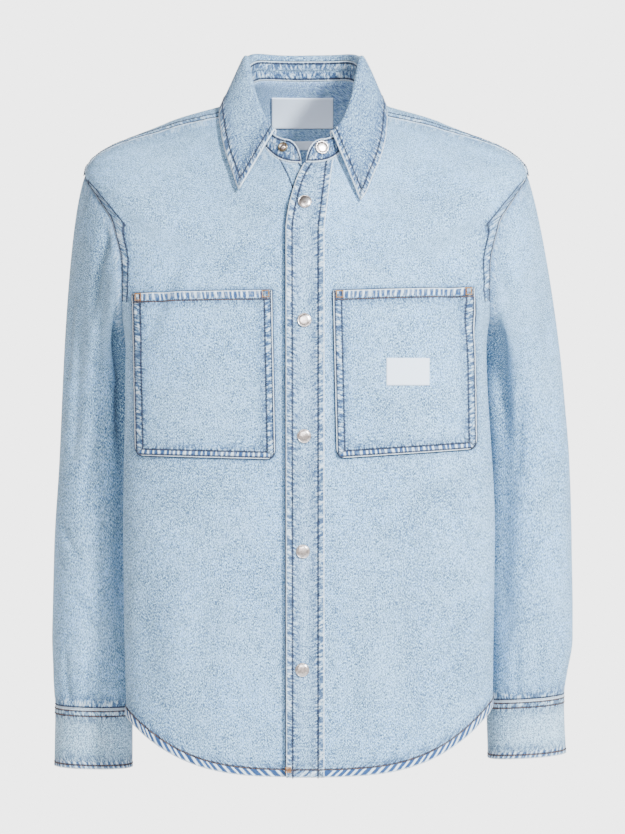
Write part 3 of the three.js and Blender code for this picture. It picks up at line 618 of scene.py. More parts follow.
    def line(self, edge, inset, part, face, trim):
        """The runs of a stitch row at an inset from an edge."""
        outer, inner = self.faces()
        surface = outer if face == "outer" else inner
        lift = self.out * (0.12 if face == "outer" else -0.12)
        surface = surface + lift
        d = self.distance[edge]
        others = {name: self.distance[name] for name, _ in trim}
        if edge in ("low", "high"):
            surface = surface.transpose(1, 0, 2)
            d = d.T
            others = {name: other.T for name, other in others.items()}
        if edge in ("end", "high"):
            surface, d = surface[:, ::-1], d[:, ::-1]
            others = {name: other[:, ::-1] for name, other in others.items()}
        runs, now = [], []
        for i in range(len(surface)):
            fits = part[i] > 0.5 and d[i, -1] > inset
            for name, least in trim:
                fits = fits and np.interp(inset, d[i], others[name][i]) >= least
            if fits:
                now.append([np.interp(inset, d[i], surface[i, :, k]) for k in range(3)])
            elif len(now) > 2:
                runs.append(np.array(now))
                now = []
            else:
                now = []
        if len(now) > 2:
            if self.closed and edge in ("low", "high"):
                now.append(now[0])
            runs.append(np.array(now))
        return runs


THREADS = {"navy": [], "brown": []}


def new_object(name, vertices, faces, materials, index=None):
    mesh = bpy.data.meshes.new(name)
    mesh.from_pydata((np.asarray(vertices) * MM).tolist(), [], np.asarray(faces).tolist())
    mesh.update()
    piece = bpy.data.objects.new(name, mesh)
    bpy.context.scene.collection.objects.link(piece)
    for material in materials:
        mesh.materials.append(material)
    if index is not None:
        mesh.polygons.foreach_set("material_index", np.asarray(index, np.int32))
    mesh.polygons.foreach_set("use_smooth", np.ones(len(mesh.polygons), bool))
    return piece


def enclosed(vertices, faces):
    """Six times the volume that quads or triangles enclose, to tell which way they face."""
    a, b, c = (vertices[faces[:, k]] for k in range(3))
    total = np.sum(a * np.cross(b, c))
    if faces.shape[1] == 4:
        d = vertices[faces[:, 3]]
        total += np.sum(a * np.cross(c, d))
    return total


def make_cloth(cloth, node, materials):
    """A closed shell from a cloth's two faces, with what the materials read stored on it."""
    outer, inner = cloth.faces()
    rows, columns = cloth.shape
    number = np.arange(rows * columns).reshape(rows, columns)
    other = number + rows * columns
    if cloth.closed:
        number = np.concatenate([number, number[:, :1]], axis=1)
        other = np.concatenate([other, other[:, :1]], axis=1)

    def quads(a, b, c, d):
        return np.stack([a.ravel(), b.ravel(), c.ravel(), d.ravel()], -1)

    front = quads(number[:-1, :-1], number[:-1, 1:], number[1:, 1:], number[1:, :-1])
    behind = quads(other[:-1, :-1], other[1:, :-1], other[1:, 1:], other[:-1, 1:])
    rims = [
        quads(number[0, :-1], other[0, :-1], other[0, 1:], number[0, 1:]),
        quads(number[-1, :-1], number[-1, 1:], other[-1, 1:], other[-1, :-1]),
    ]
    if not cloth.closed:
        rims.append(quads(number[:-1, 0], number[1:, 0], other[1:, 0], other[:-1, 0]))
        rims.append(quads(number[:-1, -1], other[:-1, -1], other[1:, -1], number[1:, -1]))
    rims = np.concatenate(rims)
    faces = np.concatenate([front, rims, behind])
    index = np.concatenate([np.zeros(len(front) + len(rims), int), np.ones(len(behind), int)])
    vertices = np.concatenate([outer.reshape(-1, 3), inner.reshape(-1, 3)])
    if enclosed(vertices, faces) < 0:
        faces = faces[:, ::-1]
    piece = new_object(cloth.name, vertices, faces, materials, index)
    relief = (cloth.height - cloth.sag).reshape(-1)
    uv = np.stack([cloth.u.reshape(-1), cloth.v.reshape(-1), relief], -1)
    insets = cloth.insets.reshape(-1, 3)
    for label, values in (("cloth", uv), ("seam", cloth.seam.reshape(-1, 3)), ("insets", insets)):
        attribute = piece.data.attributes.new(label, "FLOAT_VECTOR", "POINT")
        attribute.data.foreach_set("vector", np.concatenate([values, values]).astype(np.float32).ravel())
    for label, values in (("stitch_row", cloth.row), ("bare", cloth.bare)):
        attribute = piece.data.attributes.new(label, "FLOAT", "POINT")
        flat = values.reshape(-1)
        attribute.data.foreach_set("value", np.concatenate([flat, flat]).astype(np.float32))
    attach(piece, "root")
    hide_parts(node)
    middle = cloth.points
    first = np.cross(middle[1:, :-1] - middle[:-1, :-1], middle[:-1, 1:] - middle[:-1, :-1])
    second = np.cross(middle[1:, 1:] - middle[1:, :-1], middle[1:, 1:] - middle[:-1, 1:])
    area = (np.linalg.norm(first, axis=2).sum() + np.linalg.norm(second, axis=2).sum()) / 2
    wide, long = cloth.u[:, -1].max(), cloth.v[-1].max()
    if cloth.closed:
        ends = np.linalg.norm(middle[:, 0] - middle[:, -1], axis=1)
        wide = (cloth.u[:, -1] + ends).max()
        area *= wide / cloth.u[:, -1].max()
    print(f"CUT {cloth.name} {wide:.0f} x {long:.0f} mm, {area / 1e6:.4f} m2, {len(faces) * 2} triangles")
    for edge, inset, part, thread, face, trim in cloth.threads:
        THREADS[thread] += cloth.line(edge, inset, part, face, trim)
    return piece


# Body panels
def body_sag(x, z, front):
    """Depth of the body's creases at distance x and height z; none at the placket or the edges."""
    total = np.zeros_like(x)
    for i in np.flatnonzero(BODY_CREASES["front"] == front):
        c = {name: BODY_CREASES[name][i] for name in BODY_CREASES}
        dx, dz = c["x2"] - c["x1"], c["z2"] - c["z1"]
        length = np.hypot(dx, dz)
        t = ((x - c["x1"]) * dx + (z - c["z1"]) * dz) / length**2
        aside = ((x - c["x1"]) * dz - (z - c["z1"]) * dx) / length
        aside = aside - c["bow"] * np.sin(np.pi * np.clip(t, 0, 1))
        ends = smooth(t / 0.35) * smooth((1 - t) / 0.35)
        trough = np.exp(-((aside / c["wide"]) ** 2))
        ridge = 0.45 * np.exp(-(((aside - 1.7 * c["wide"]) / c["wide"]) ** 2))
        total = total + c["deep"] * ends * (trough - ridge)
    broad = 0.8 * np.sin(x / 41 + z / 150 + front) * np.sin(z / 97 + x / 210)
    return (total * CREASE_GAIN + broad) * smooth((np.abs(x) - 24) / 22)


def part_of(values, low, high, soft=0.015):
    """1 where values lie between low and high, fading over a short stretch at both ends."""
    return smooth((values - low) / soft + 0.5) * smooth((high - values) / soft + 0.5)


def side_rows(edge, lengths, ends):
    """Section numbers up a panel's edge, in stretches from one named section to the next."""
    values = []
    for (low, high), near in zip(lengths, ends):
        v = np.linspace(low, high, 400)
        length = np.linalg.norm(np.diff(torso(v, edge(v)), axis=0), axis=1).sum()
        part = evenly(lambda v: torso(v, edge(v)), low, high, steps(length, wide=3.0, ends=near))
        values.append(part if not len(values) else part[1:])
    return np.concatenate(values)


def edge_mitre(panel, column, v, back):
    """Turns a panel's armhole edge to the shared direction of its wall and the sleeve's."""
    low, high = (2, 3)
    inside = np.flatnonzero((v >= low) & (v <= high))
    share = np.interp(v[inside], BACK_V if back else FRONT_V, FRONT_SHARES)
    j = ALL_CELLS - BACK_CELLS * share if back else FRONT_CELLS * share
    side = np.sign(panel.points[inside[-1], column, 0])
    panel.out[inside, column] = armhole_out(j, side)


SLEEVE_J = np.linspace(0, ALL_CELLS, 151)[:-1]


def sleeve_start_out(side):
    rows = sleeve_surface(side, SLEEVE_J, (0, 0.02), ())
    down = rows[1] - rows[0]
    round_ = np.roll(rows[0], -1, axis=0) - np.roll(rows[0], 1, axis=0)
    return unit(np.cross(down, round_))


SLEEVE_OUT = {side: sleeve_start_out(side) for side in (1, -1)}


def armhole_out(j, side):
    v, a = armhole(j)
    own = torso_out(v, a)
    j = np.asarray(j, float) % ALL_CELLS
    wrapped_j = np.append(SLEEVE_J, ALL_CELLS)
    other = SLEEVE_OUT[int(side)]
    other = np.concatenate([other, other[:1]])
    sleeve_side = np.stack([np.interp(j, wrapped_j, other[:, k]) for k in range(3)], -1)
    return mirrored(mitre(own, unit(sleeve_side)), side)


def front(side):
    name = "front_left" if side > 0 else "front_right"
    own = "left_front" if side > 0 else "right_front"
    v = side_rows(front_edge, ((0, 2), (2, 3), (3, 5)), ((1, 0), (0, 0), (0, 1)))
    start = angle_at(v, side * along(CENTRE, "v", own, v))
    a = side * across_rows(v, start, front_edge(v), steps(300, wide=3.6, ends=(False, True)))
    vv = np.broadcast_to(v[:, None], a.shape)
    points = torso(vv, a)
    if side > 0:
        lap = lap_at(points[..., 0]) + edge_roll(points[..., 0], vv)
        points = points + torso_out(vv, a) * lap[..., None]
    panel = Cloth(name, points, side)
    panel.out[-1] = mitre(panel.out[-1], stand_out(a[-1]))
    edge_mitre(panel, -1, v, False)
    panel.crease(body_sag(points[..., 0], points[..., 2], 1) * fade(panel, 14))
    panel.sew("end", "side", part_of(v, -1, 2.01))
    panel.sew("end", "armhole", part_of(v, 2.25, 3.0, 0.06))
    panel.sew("end", "under", part_of(v, 3.0, 6))
    panel.sew("high", "neck")
    panel.sew("low", "hem")
    if side < 0:
        panel.stitch("start", 20, "navy", part_of(v, 3.6, 6))
        panel.stitch("start", 2, "navy", part_of(v, 3.6, 6))
    return panel


def fade(panel, reach):
    """Falls to nothing at every edge of a panel, so that the panels still meet."""
    share = np.ones(panel.shape)
    for edge in ("low", "high") if panel.closed else ("start", "end", "low", "high"):
        share = share * smooth(panel.distance[edge] / reach)
    return share


def back():
    v = side_rows(back_edge, ((0, 2), (2, 3)), ((1, 0), (0, 1)))
    edge = back_edge(v)
    a = across_rows(v, edge, 2 * np.pi - edge, steps(430, wide=3.9))
    vv = np.broadcast_to(v[:, None], a.shape)
    panel = Cloth("back", torso(vv, a))
    edge_mitre(panel, 0, v, True)
    edge_mitre(panel, -1, v, True)
    x, z = panel.points[..., 0], panel.points[..., 2]
    panel.crease(body_sag(x, z, -1) * fade(panel, 14))
    for side in ("start", "end"):
        panel.sew(side, "under", part_of(v, -1, 2.01))
        panel.sew(side, "armhole", part_of(v, 2.01, 6))
    panel.sew("high", "under")
    panel.sew("low", "hem")
    return panel


def yoke():
    v = side_rows(front_edge, ((3, 5),), ((1, 1),))
    turn = back_edge(3.0)
    ends = steps(105, wide=3.0, ends=(True, False))
    cap = across_rows(v, front_edge(v), np.full(len(v), turn), ends)
    middle = across_rows(v, np.full(len(v), turn), np.full(len(v), 2 * np.pi - turn), np.linspace(0, 1, 130))
    a = np.concatenate([cap[:, :-1], middle, (2 * np.pi - cap[:, :-1])[:, ::-1]], axis=1)
    vv = np.broadcast_to(v[:, None], a.shape)
    panel = Cloth("yoke", torso(vv, a))
    panel.out[-1] = mitre(panel.out[-1], stand_out(a[-1]))
    count = cap.shape[1]
    j = FRONT_CELLS + TOP_CELLS * ends
    panel.out[0, :count] = armhole_out(j, 1)
    panel.out[0, -count:] = armhole_out(j, -1)[::-1]
    round_ = np.arange(panel.shape[1])
    top = part_of(round_, -9, count, 2) + part_of(round_, panel.shape[1] - count, 9999, 2)
    panel.sew("low", "armhole", top)
    panel.sew("low", "yoke", 1 - top)
    panel.sew("start", "yoke")
    panel.sew("end", "yoke")
    panel.sew("high", "neck")
    return panel


def sleeve(side):
    name = "sleeve_left" if side > 0 else "sleeve_right"
    cap = np.concatenate([[0, 0.008, 0.018, 0.03], np.linspace(0.045, 1, 46)])
    seam_z = CUFFS[side]["seam"]
    tube_z = CAP_Z + (seam_z - CAP_Z) * steps(CAP_Z - seam_z, wide=3.2, ends=(False, True))[1:]
    points = mirrored(sleeve_surface(side, SLEEVE_J, cap, tube_z), side)
    panel = Cloth(name, points, -side, closed=True)
    panel.out[0] = armhole_out(SLEEVE_J, side)
    t = np.broadcast_to(sleeve_angle(SLEEVE_J), panel.shape)
    z = points[..., 2]
    sag = CREASE_GAIN * fold_depth(SLEEVE_CREASES, side, z, t)
    ripple = 0.9 * np.sin(t / 19 + z / 40) * np.sin(z / 23 + side) * smooth((-560 - z) / 60)
    panel.crease((sag + ripple) * fade(panel, 16))
    panel.sew("low", "under")
    panel.sew("high", "sleeve_end")
    return panel


def cuff_point(side, z, t):
    p = tube(side, z, t % 360)
    ahead = tube(side, z, (t + 2) % 360) - tube(side, z, (t + 358) % 360)
    out = unit(np.cross(ahead, np.array([0, 0, 1.0])))
    over = smooth((t - CUFF_LAP_AT - 330) / 24)
    p = p + out * (over * (DENIM + LAYER_GAP + 0.2))[..., None]
    return mirrored(p, side), mirrored(out, side)


def cuff(side):
    name = "cuff_left" if side > 0 else "cuff_right"
    c = CUFFS[side]
    z = blend(c["seam"] - SEAM_GAP - 0.2, c["hem"], np.linspace(0, 1, 31))
    t = CUFF_LAP_AT + (360 + CUFF_LAP) * np.linspace(0, 1, 131)
    points, _ = cuff_point(side, *np.meshgrid(z, t, indexing="ij"))
    panel = Cloth(name, points, -side)
    panel.sew("low", "cuff_top")
    panel.sew("high", "cuff_end")
    panel.sew("start", "cuff_side")
    panel.sew("end", "cuff_side")
    return panel


# Neck
def neck_angles(count=190):
    start = angle_at(5, CENTRE["left_front"][-1])
    end = 2 * np.pi + angle_at(5, CENTRE["right_front"][-1])
    middle = np.linspace(0.04, 0.96, count)[1:-1]
    ends = np.concatenate([np.linspace(0, 0.04, 16), middle, np.linspace(0.96, 1, 16)])
    return evenly(lambda a: torso(5, a), start, end, ends)


def stand_point(a, up):
    low, high = torso(5, a), torso(6, a)
    out = stand_out(a)
    left = a < np.pi
    low = low + out * np.where(left, lap_at(low[..., 0]), 0)[..., None]
    high = high + out * np.where(left, lap_at(high[..., 0]), 0)[..., None]
    front_part = np.abs(a - np.pi) > np.pi / 2
    end = np.where(left, along(CENTRE, "v", "left_front", 5), along(CENTRE, "v", "right_front", 5))
    reach = np.where(front_part, np.abs(torso(5, a)[..., 0] - end), STAND_ROUND)
    t = np.clip(reach / STAND_ROUND, 0, 1)
    tall = np.maximum(0.1, np.sqrt(1 - (1 - t) ** 2))
    return blend(low, high, blend(0.025, tall, up)[..., None])


def stand():
    a = neck_angles()
    up = np.linspace(0, 1, 15)
    points = np.array([stand_point(a, np.full_like(a, share)) for share in up])
    panel = Cloth("collar_stand", points)
    panel.out[0] = mitre(torso_out(5, a), stand_out(a))
    panel.sew("low", "stand_low")
    panel.sew("high", "stand_top")
    panel.stitch("low", 2.6, "navy", face="inner")
    panel.stitch("high", 2.6, "navy", face="inner")
    return panel


def leaf():
    start, end = np.radians(LEAF_LEFT), 2 * np.pi - np.radians(LEAF_RIGHT)
    a = evenly(lambda q: torso(5, q), start, end, steps(430, wide=2.6, close=1.6))
    left = a < np.pi
    first = np.where(left, start, np.radians(LEAF_RIGHT))
    share = (np.where(left, a, 2 * np.pi - a) - first) / (np.pi - first)

    def value(name):
        return along(LEAF, "share", name, share)

    foot = stand_point(a, np.ones_like(a))
    up = unit(torso(6, a) - torso(5, a))
    out = stand_out(a)
    place = np.radians(np.where(left, value("left_angle"), value("right_angle")))
    edge_a = np.where(left, place, 2 * np.pi - place)
    edge_v = np.where(left, value("left_v"), value("right_v"))
    edge = torso(edge_v, edge_a) + torso_out(edge_v, edge_a) * value("clear")[:, None]
    rise = value("rise")[:, None]
    r = FOLD_RADIUS
    rows = [foot + up * (SEAM_GAP + 0.5), foot + up * rise * 0.35, foot + up * rise * 0.7]
    for turn in np.radians(np.linspace(0, 120, 7)):
        rows.append(foot + up * (rise + r * np.sin(turn)) + out * (r - r * np.cos(turn)))
    top = foot + up * rise + out * 2 * r
    bow = blend(top, edge, 0.45) + out
    for t in np.linspace(0.03, 1, 27):
        rows.append(top * (1 - t) ** 2 + bow * 2 * t * (1 - t) + edge * t * t)
    panel = Cloth("collar", np.array(rows), -1)
    away = panel.distance["high"]
    round_ = panel.run["high"]
    ripple = 0.55 * np.sin(round_ / 23 + away / 30) * np.sin(away / 17 + round_ / 61)
    panel.crease(ripple * fade(panel, 12))
    trim = (("start", 6.0), ("end", 6.0))
    panel.sew("high", "leaf_edge", trim=trim)
    panel.sew("start", "leaf_edge", trim=(("high", 6.0),))
    panel.sew("end", "leaf_edge", trim=(("high", 6.0),))
    return panel


# What lies on the body
def placket():
    v = side_rows(front_edge, ((0, 2), (2, 3), (3, 4.965)), ((1, 0), (0, 0), (0, 1)))
    low_x, high_x = along(CENTRE, "v", "placket_out", v), along(CENTRE, "v", "placket_in", v)
    x = blend(low_x[:, None], high_x[:, None], np.linspace(0, 1, 25)[None])
    vv = np.broadcast_to(v[:, None], x.shape)
    a = angle_at(vv, x)
    out = torso_out(vv, a)
    lift = PLACKET_LIFT * smooth(vv - 3.3) + DENIM / 2 + LAYER_GAP + BAND / 2
    points = torso(vv, a)
    lift = lift + lap_at(points[..., 0]) + edge_roll(points[..., 0], vv)
    points = points + out * lift[..., None]
    panel = Cloth("placket", points, wall=BAND)
    panel.sew("start", "placket")
    panel.sew("end", "placket")
    panel.sew("low", "hem", rows=False, mark=1.25)
    panel.stitch("low", 8.4, "brown")
    return panel


def patch(name, corners, across, up, back=False, cut=0):
    """A grid of the points of the front or back between four corners, and its outward turn."""
    s, t = np.meshgrid(np.linspace(0, 1, across + 1), up)
    wide = abs(corners["top_out"][0] - corners["top_in"][0])
    high = abs(corners["top_in"][1] - corners["low_in"][1])
    if cut:
        rise = np.clip(t * high / cut, 0, 1)
        held = cut * (1 - np.sqrt(1 - (1 - rise) ** 2)) / wide * 0.72
        s = held + s * (1 - 2 * held)
    low = [blend(corners["low_in"][k], corners["low_out"][k], s) for k in (0, 1)]
    top = [blend(corners["top_in"][k], corners["top_out"][k], s) for k in (0, 1)]
    x, z = blend(low[0], top[0], t), blend(low[1], top[1], t)
    v, a = place_at(x, z, back)
    points, out = torso(v, a), torso_out(v, a)
    if not back:
        lap = np.where(x > 0, lap_at(x), 0) - body_sag(x, z, 1)
        points = points + out * lap[..., None]
    return points, out, s, t


def pocket(name):
    corners = POCKETS[name]
    low = np.concatenate([np.linspace(0, 0.09, 13), np.linspace(0.09, 0.91, 52)[1:-1], np.linspace(0.91, 1, 13)])
    points, out, s, t = patch("pocket", corners, 66, low, cut=POCKET_CORNER)
    puff = POCKET_PUFF * np.sin(np.pi * s) * np.sin(np.pi * t)
    lift = DENIM / 2 + POCKET_GAP + POCKET_STAND + BAND / 2 + puff
    sign = 1 if name == "left" else -1
    panel = Cloth("pocket_" + name, points + out * lift[..., None], sign, wall=BAND)
    wide, high = panel.u[:, -1].max(), panel.v[-1].max()
    panel.distance = {"start": s * wide, "end": (1 - s) * wide, "low": t * high, "high": (1 - t) * high}
    panel.run = {"start": t * high, "end": t * high, "low": s * wide, "high": s * wide}
    outer_side, inner_side = SEAMS["pocket"]["rows"]
    outer_low, inner_low = SEAMS["pocket_low"]["rows"]
    for edge in ("start", "end"):
        panel.sew(edge, "pocket", rows=False)
        panel.stitch(edge, outer_side, "navy", trim=(("low", outer_low), ("high", 1)))
        panel.stitch(edge, inner_side, "navy", trim=(("low", inner_low), ("high", 1)))
    panel.sew("low", "pocket_low", rows=False)
    panel.stitch("low", outer_low, "navy", trim=(("start", outer_side), ("end", outer_side)))
    panel.stitch("low", inner_low, "navy", trim=(("start", inner_side), ("end", inner_side)))
    panel.sew("high", "pocket_top", trim=(("start", 1.5), ("end", 1.5)))
    return panel


def tape(name, size, back):
    x, z, wide, high = size
    corners = {
        "low_in": (x - wide / 2, z - high / 2), "low_out": (x + wide / 2, z - high / 2),
        "top_in": (x - wide / 2, z + high / 2), "top_out": (x + wide / 2, z + high / 2),
    }
    points, out, s, t = patch(name, corners, int(wide / 1.5), np.linspace(0, 1, int(high / 1.5) + 1), back)
    if back:
        lift = -DENIM / 2 - LABEL_GAP - LABEL / 2
    else:
        lift = DENIM / 2 + POCKET_GAP + BAND + POCKET_PUFF + LAYER_GAP + LABEL / 2
    panel = Cloth(name, points + out * lift, 1, wall=LABEL)
    return panel


# Materials
def colour(red, green, blue):
    """Linear light from the three numbers of a screen colour."""
    value = np.array([red, green, blue]) / 255
    linear = np.where(value <= 0.04045, value / 12.92, ((value + 0.055) / 1.055) ** 2.4)
    return (*linear.tolist(), 1)


class Recipe:
    """A material's nodes, added one at a time."""

    def __init__(self, name, roughness, metal=0.0):
        self.material = bpy.data.materials.new(name)
        self.material.use_nodes = True
        self.tree = self.material.node_tree
        self.shader = next(n for n in self.tree.nodes if n.type == "BSDF_PRINCIPLED")
        self.shader.inputs["Roughness"].default_value = roughness
        self.shader.inputs["Metallic"].default_value = metal

    def add(self, kind, settings=None, **inputs):
        node = self.tree.nodes.new("ShaderNode" + kind)
        for key, value in (settings or {}).items():
            setattr(node, key, value)
        for key, value in inputs.items():
            socket = node.inputs[int(key[1:])] if key[0] == "_" else node.inputs[key.replace("_", " ")]
            if isinstance(value, bpy.types.NodeSocket):
                self.tree.links.new(value, socket)
            else:
                socket.default_value = value
        return node

    def attribute(self, name):
        return self.add("Attribute", {"attribute_name": name}).outputs["Vector"]

    def parts(self, vector):
        node = self.add("SeparateXYZ", Vector=vector)
        return node.outputs

    def vector(self, x=0.0, y=0.0, z=0.0):
        return self.add("CombineXYZ", X=x, Y=y, Z=z).outputs[0]

    def scaled(self, vector, x, y, z):
        return self.add("Mapping", Vector=vector, Scale=(x, y, z)).outputs[0]

    def noise(self, vector, scale, detail=3.0, rough=0.55, twist=0.0):
        return self.add(
            "TexNoise", Vector=vector, Scale=scale, Detail=detail, Roughness=rough, Distortion=twist
        ).outputs[0]

    def math(self, operation, a, b=0.0, clamp=False):
        return self.add("Math", {"operation": operation, "use_clamp": clamp}, _0=a, _1=b).outputs[0]

    def ramp(self, value, low, high, start=0.0, end=1.0):
        node = self.add("MapRange", {"interpolation_type": "SMOOTHSTEP"}, Value=value)
        for key, number in (("From Min", low), ("From Max", high), ("To Min", start), ("To Max", end)):
            node.inputs[key].default_value = number
        return node.outputs[0]

    def mix(self, share, a, b):
        node = self.tree.nodes.new("ShaderNodeMix")
        node.data_type = "RGBA"
        for index, value in ((0, share), (6, a), (7, b)):
            if isinstance(value, bpy.types.NodeSocket):
                self.tree.links.new(value, node.inputs[index])
            else:
                node.inputs[index].default_value = value
        return node.outputs[2]

    def finish(self, tint, height=None, depth=0.0003, tint_socket="Base Color"):
        self.tree.links.new(tint, self.shader.inputs[tint_socket])
        if height is not None:
            bump = self.add("Bump", Height=height, Strength=1.0, Distance=depth)
            self.tree.links.new(bump.outputs[0], self.shader.inputs["Normal"])
        return self.material


PALE = (0.37, 0.61, 0.95, 1)
BLUE = (0.080, 0.14, 0.235, 1)
SPECK = (0.045, 0.065, 0.11, 1)
WHITE = (0.93, 0.94, 0.97, 1)
HAZE = (0.43, 0.60, 0.80, 1)  # where the wash has left the cloth greyer
FLECK = (0.62, 0.87, 1.0, 1)
DEEP = (0.035, 0.060, 0.13, 1)
# painted shade: the near-black of the stitch grooves and of the contact line beside lapping edges
SHADE_NAVY = (0.022, 0.026, 0.055, 1)
ROPE_BLUE = (0.035, 0.08, 0.20, 1)
# The collar's palette is far darker than the body's: painted shade on the collar and, on the stand's inside, on the
# neck's interior
COLLAR_PALE = (0.165, 0.28, 0.46, 1)
COLLAR_BLUE = (0.04, 0.08, 0.19, 1)
PLACKET_PALE = (0.50, 0.66, 0.92, 1)
CUFF_PALE = (0.60, 0.72, 0.84, 1)
CUFF_BLUE = (0.14, 0.21, 0.30, 1)
# The inside's palette is darker and greyer than the outside's: greyer like the reverse side of denim, darker as
# painted shade of the shirt's interior
INSIDE_PALE = (0.30, 0.41, 0.68, 1)
INSIDE_BLUE = (0.16, 0.25, 0.46, 1)


def denim(name, pale, blue, mark=1.0, cloud=1.0, seed=0.0):
    """Washed denim: clouds, mottle, upright slubs and specks, the wash marks at its seams, and painted shade beside
    what lies on it and in its stitch grooves.
    """
    r = Recipe(name, 0.9)
    r.shader.inputs["Sheen Weight"].default_value = 0.1
    r.shader.inputs["Sheen Roughness"].default_value = 0.6
    r.shader.inputs["Specular IOR Level"].default_value = 0.2
    u, v, relief = r.parts(r.attribute("cloth"))
    away, run, strength = r.parts(r.attribute("seam"))
    row = r.add("Attribute", {"attribute_name": "stitch_row"}).outputs["Fac"]
    for inset in list(r.parts(r.attribute("insets")))[:2]:
        row = r.math("MINIMUM", row, r.math("ABSOLUTE", r.math("SUBTRACT", away, inset)))
    bare = r.add("Attribute", {"attribute_name": "bare"}).outputs["Fac"]
    object_place = r.add("TexCoord").outputs["Object"]
    place = r.add("Mapping", Vector=object_place, Location=(seed, seed, seed)).outputs[0]
    flat = r.vector(u, v, seed * 10)
    clouds = r.noise(place, 8.0, 3.0, 0.6, 0.3)
    mottle = r.noise(place, 60.0, 4.0, 0.65, 0.4)
    slub = r.noise(r.scaled(flat, 0.70, 0.07, 1), 1.0, 2.0, 0.7)
    grain = r.noise(r.scaled(flat, 1.2, 0.46, 1), 1.0, 2.0, 0.7)
    speck = r.noise(r.scaled(flat, 1.35, 0.55, 1), 1.0, 1.0, 0.6)
    fleck = r.noise(r.scaled(flat, 1.3, 0.50, 7), 1.0, 1.0, 0.6)
    haze = r.noise(place, 14.0, 3.0, 0.6)

    # How far the indigo shows
    fade = r.math("ADD", r.ramp(clouds, 0.38, 0.62, -0.05, 0.25 * cloud), r.ramp(mottle, 0.36, 0.64, -0.05, 0.3))
    fade = r.math("ADD", fade, r.ramp(slub, 0.36, 0.64, -0.35, 0.55))
    fade = r.math("ADD", fade, r.ramp(grain, 0.38, 0.62, -0.4, 0.85))
    # darker where the wall is sunk in a crease or between puckers, paler where it stands proud
    fade = r.math("SUBTRACT", fade, r.math("MULTIPLY", relief, 0.12), True)
    tint = r.mix(fade, r.mix(r.ramp(haze, 0.4, 0.62, 0, 0.6), pale, HAZE), blue)
    tint = r.mix(r.ramp(speck, 0.53, 0.62, 0, 1.0), tint, SPECK)
    tint = r.mix(r.ramp(fleck, 0.53, 0.62, 0, 1.0), tint, FLECK)

    # Marks of the wash beside a seam
    striped = r.math("SUBTRACT", strength, 1.0, True)
    strength = r.math("MINIMUM", strength, 1.0)
    near = r.math("MULTIPLY", r.ramp(away, 6, 22, 1, 0), strength)
    tint = r.mix(r.math("MULTIPLY", near, 0.3 * mark), tint, blue)
    coarse_at = r.vector(r.math("MULTIPLY", run, 0.30), r.math("MULTIPLY", away, 0.11), seed)
    fine_at = r.vector(r.math("MULTIPLY", run, 0.62), r.math("MULTIPLY", away, 0.2), seed)
    rope = r.noise(coarse_at, 1.0, 2.0, 0.55, 0.25)
    fine = r.noise(fine_at, 1.0, 1.0)
    rope = r.math("ADD", r.math("MULTIPLY", rope, 0.65), r.math("MULTIPLY", fine, 0.35))
    tint = r.mix(r.math("MULTIPLY", r.ramp(rope, 0.52, 0.43, 0, 0.9 * mark), near), tint, DEEP)
    close = r.math("MULTIPLY", r.ramp(away, 6, 13, 1, 0), strength)
    tint = r.mix(r.math("MULTIPLY", r.ramp(rope, 0.51, 0.62, 0, 0.75 * mark), close), tint, WHITE)

    # Slanting stripes of a roped hem
    sway = r.noise(r.vector(r.math("MULTIPLY", run, 0.05), 0.0, seed), 1.0, 1.0)
    turn = r.math("ADD", r.math("MULTIPLY", run, 0.95), r.math("MULTIPLY", sway, 12.0))
    stripe = r.math("SINE", turn)
    roped = r.math("MULTIPLY", r.ramp(away, 7.0, 8.6, 1, 0), striped)
    tint = r.mix(r.math("MULTIPLY", roped, r.ramp(stripe, -0.35, 0.2, 0, 1.0)), tint, ROPE_BLUE)
    tint = r.mix(r.math("MULTIPLY", roped, r.ramp(stripe, -0.3, -0.7, 0, 0.9)), tint, WHITE)

    # Painted shade beside what lies on the cloth: a dark contact line and soft shadow beside the placket and pocket
    # edges, there partly also indigo left unfaded, and on the sleeves along the body's edge
    bare = r.math("ABSOLUTE", bare)
    tint = r.mix(r.ramp(bare, 0.5, 7.0, 0.45 * mark, 0), tint, blue)
    tint = r.mix(r.ramp(bare, 0.4, 1.9, mark, 0), tint, SHADE_NAVY)

    # Painted shade in the sunk grooves along the stitch rows, and a white worn edge
    groove = r.math("MULTIPLY", r.ramp(row, 0.6, 1.5, 1.0, 0), r.ramp(fine, 0.35, 0.6, 1.0, 0.7))
    tint = r.mix(groove, tint, SHADE_NAVY)
    tint = r.mix(r.math("MULTIPLY", r.ramp(away, 0.4, 1.6, 0.8 * mark, 0), strength), tint, WHITE)
    height = r.math("ADD", r.math("MULTIPLY", grain, 0.8), r.math("MULTIPLY", slub, 0.5))
    height = r.math("ADD", height, r.math("MULTIPLY", r.math("MULTIPLY", rope, near), 5.0))
    height = r.math("ADD", height, r.math("MULTIPLY", mottle, 1.0))
    height = r.math("SUBTRACT", height, r.ramp(row, 0.3, 1.6, 1.0, 0.0))
    return r.finish(tint, height, 0.0006)


def thread_material(name, dark, light):
    r = Recipe(name, 0.7)
    place = r.add("TexCoord").outputs["Object"]
    return r.finish(r.mix(r.ramp(r.noise(place, 180.0, 2.0), 0.4, 0.62), dark, light))


def tape_material():
    r = Recipe("pale_tape", 0.75)
    u, v, _ = r.parts(r.attribute("cloth"))
    flat = r.vector(u, v, 0.0)
    weave = r.noise(r.scaled(flat, 1.2, 3.2, 1), 1.0, 2.0)
    tint = r.mix(r.ramp(weave, 0.35, 0.65), (0.97, 0.95, 1.0, 1), (0.91, 0.89, 0.96, 1))
    return r.finish(tint, weave, 0.0002)


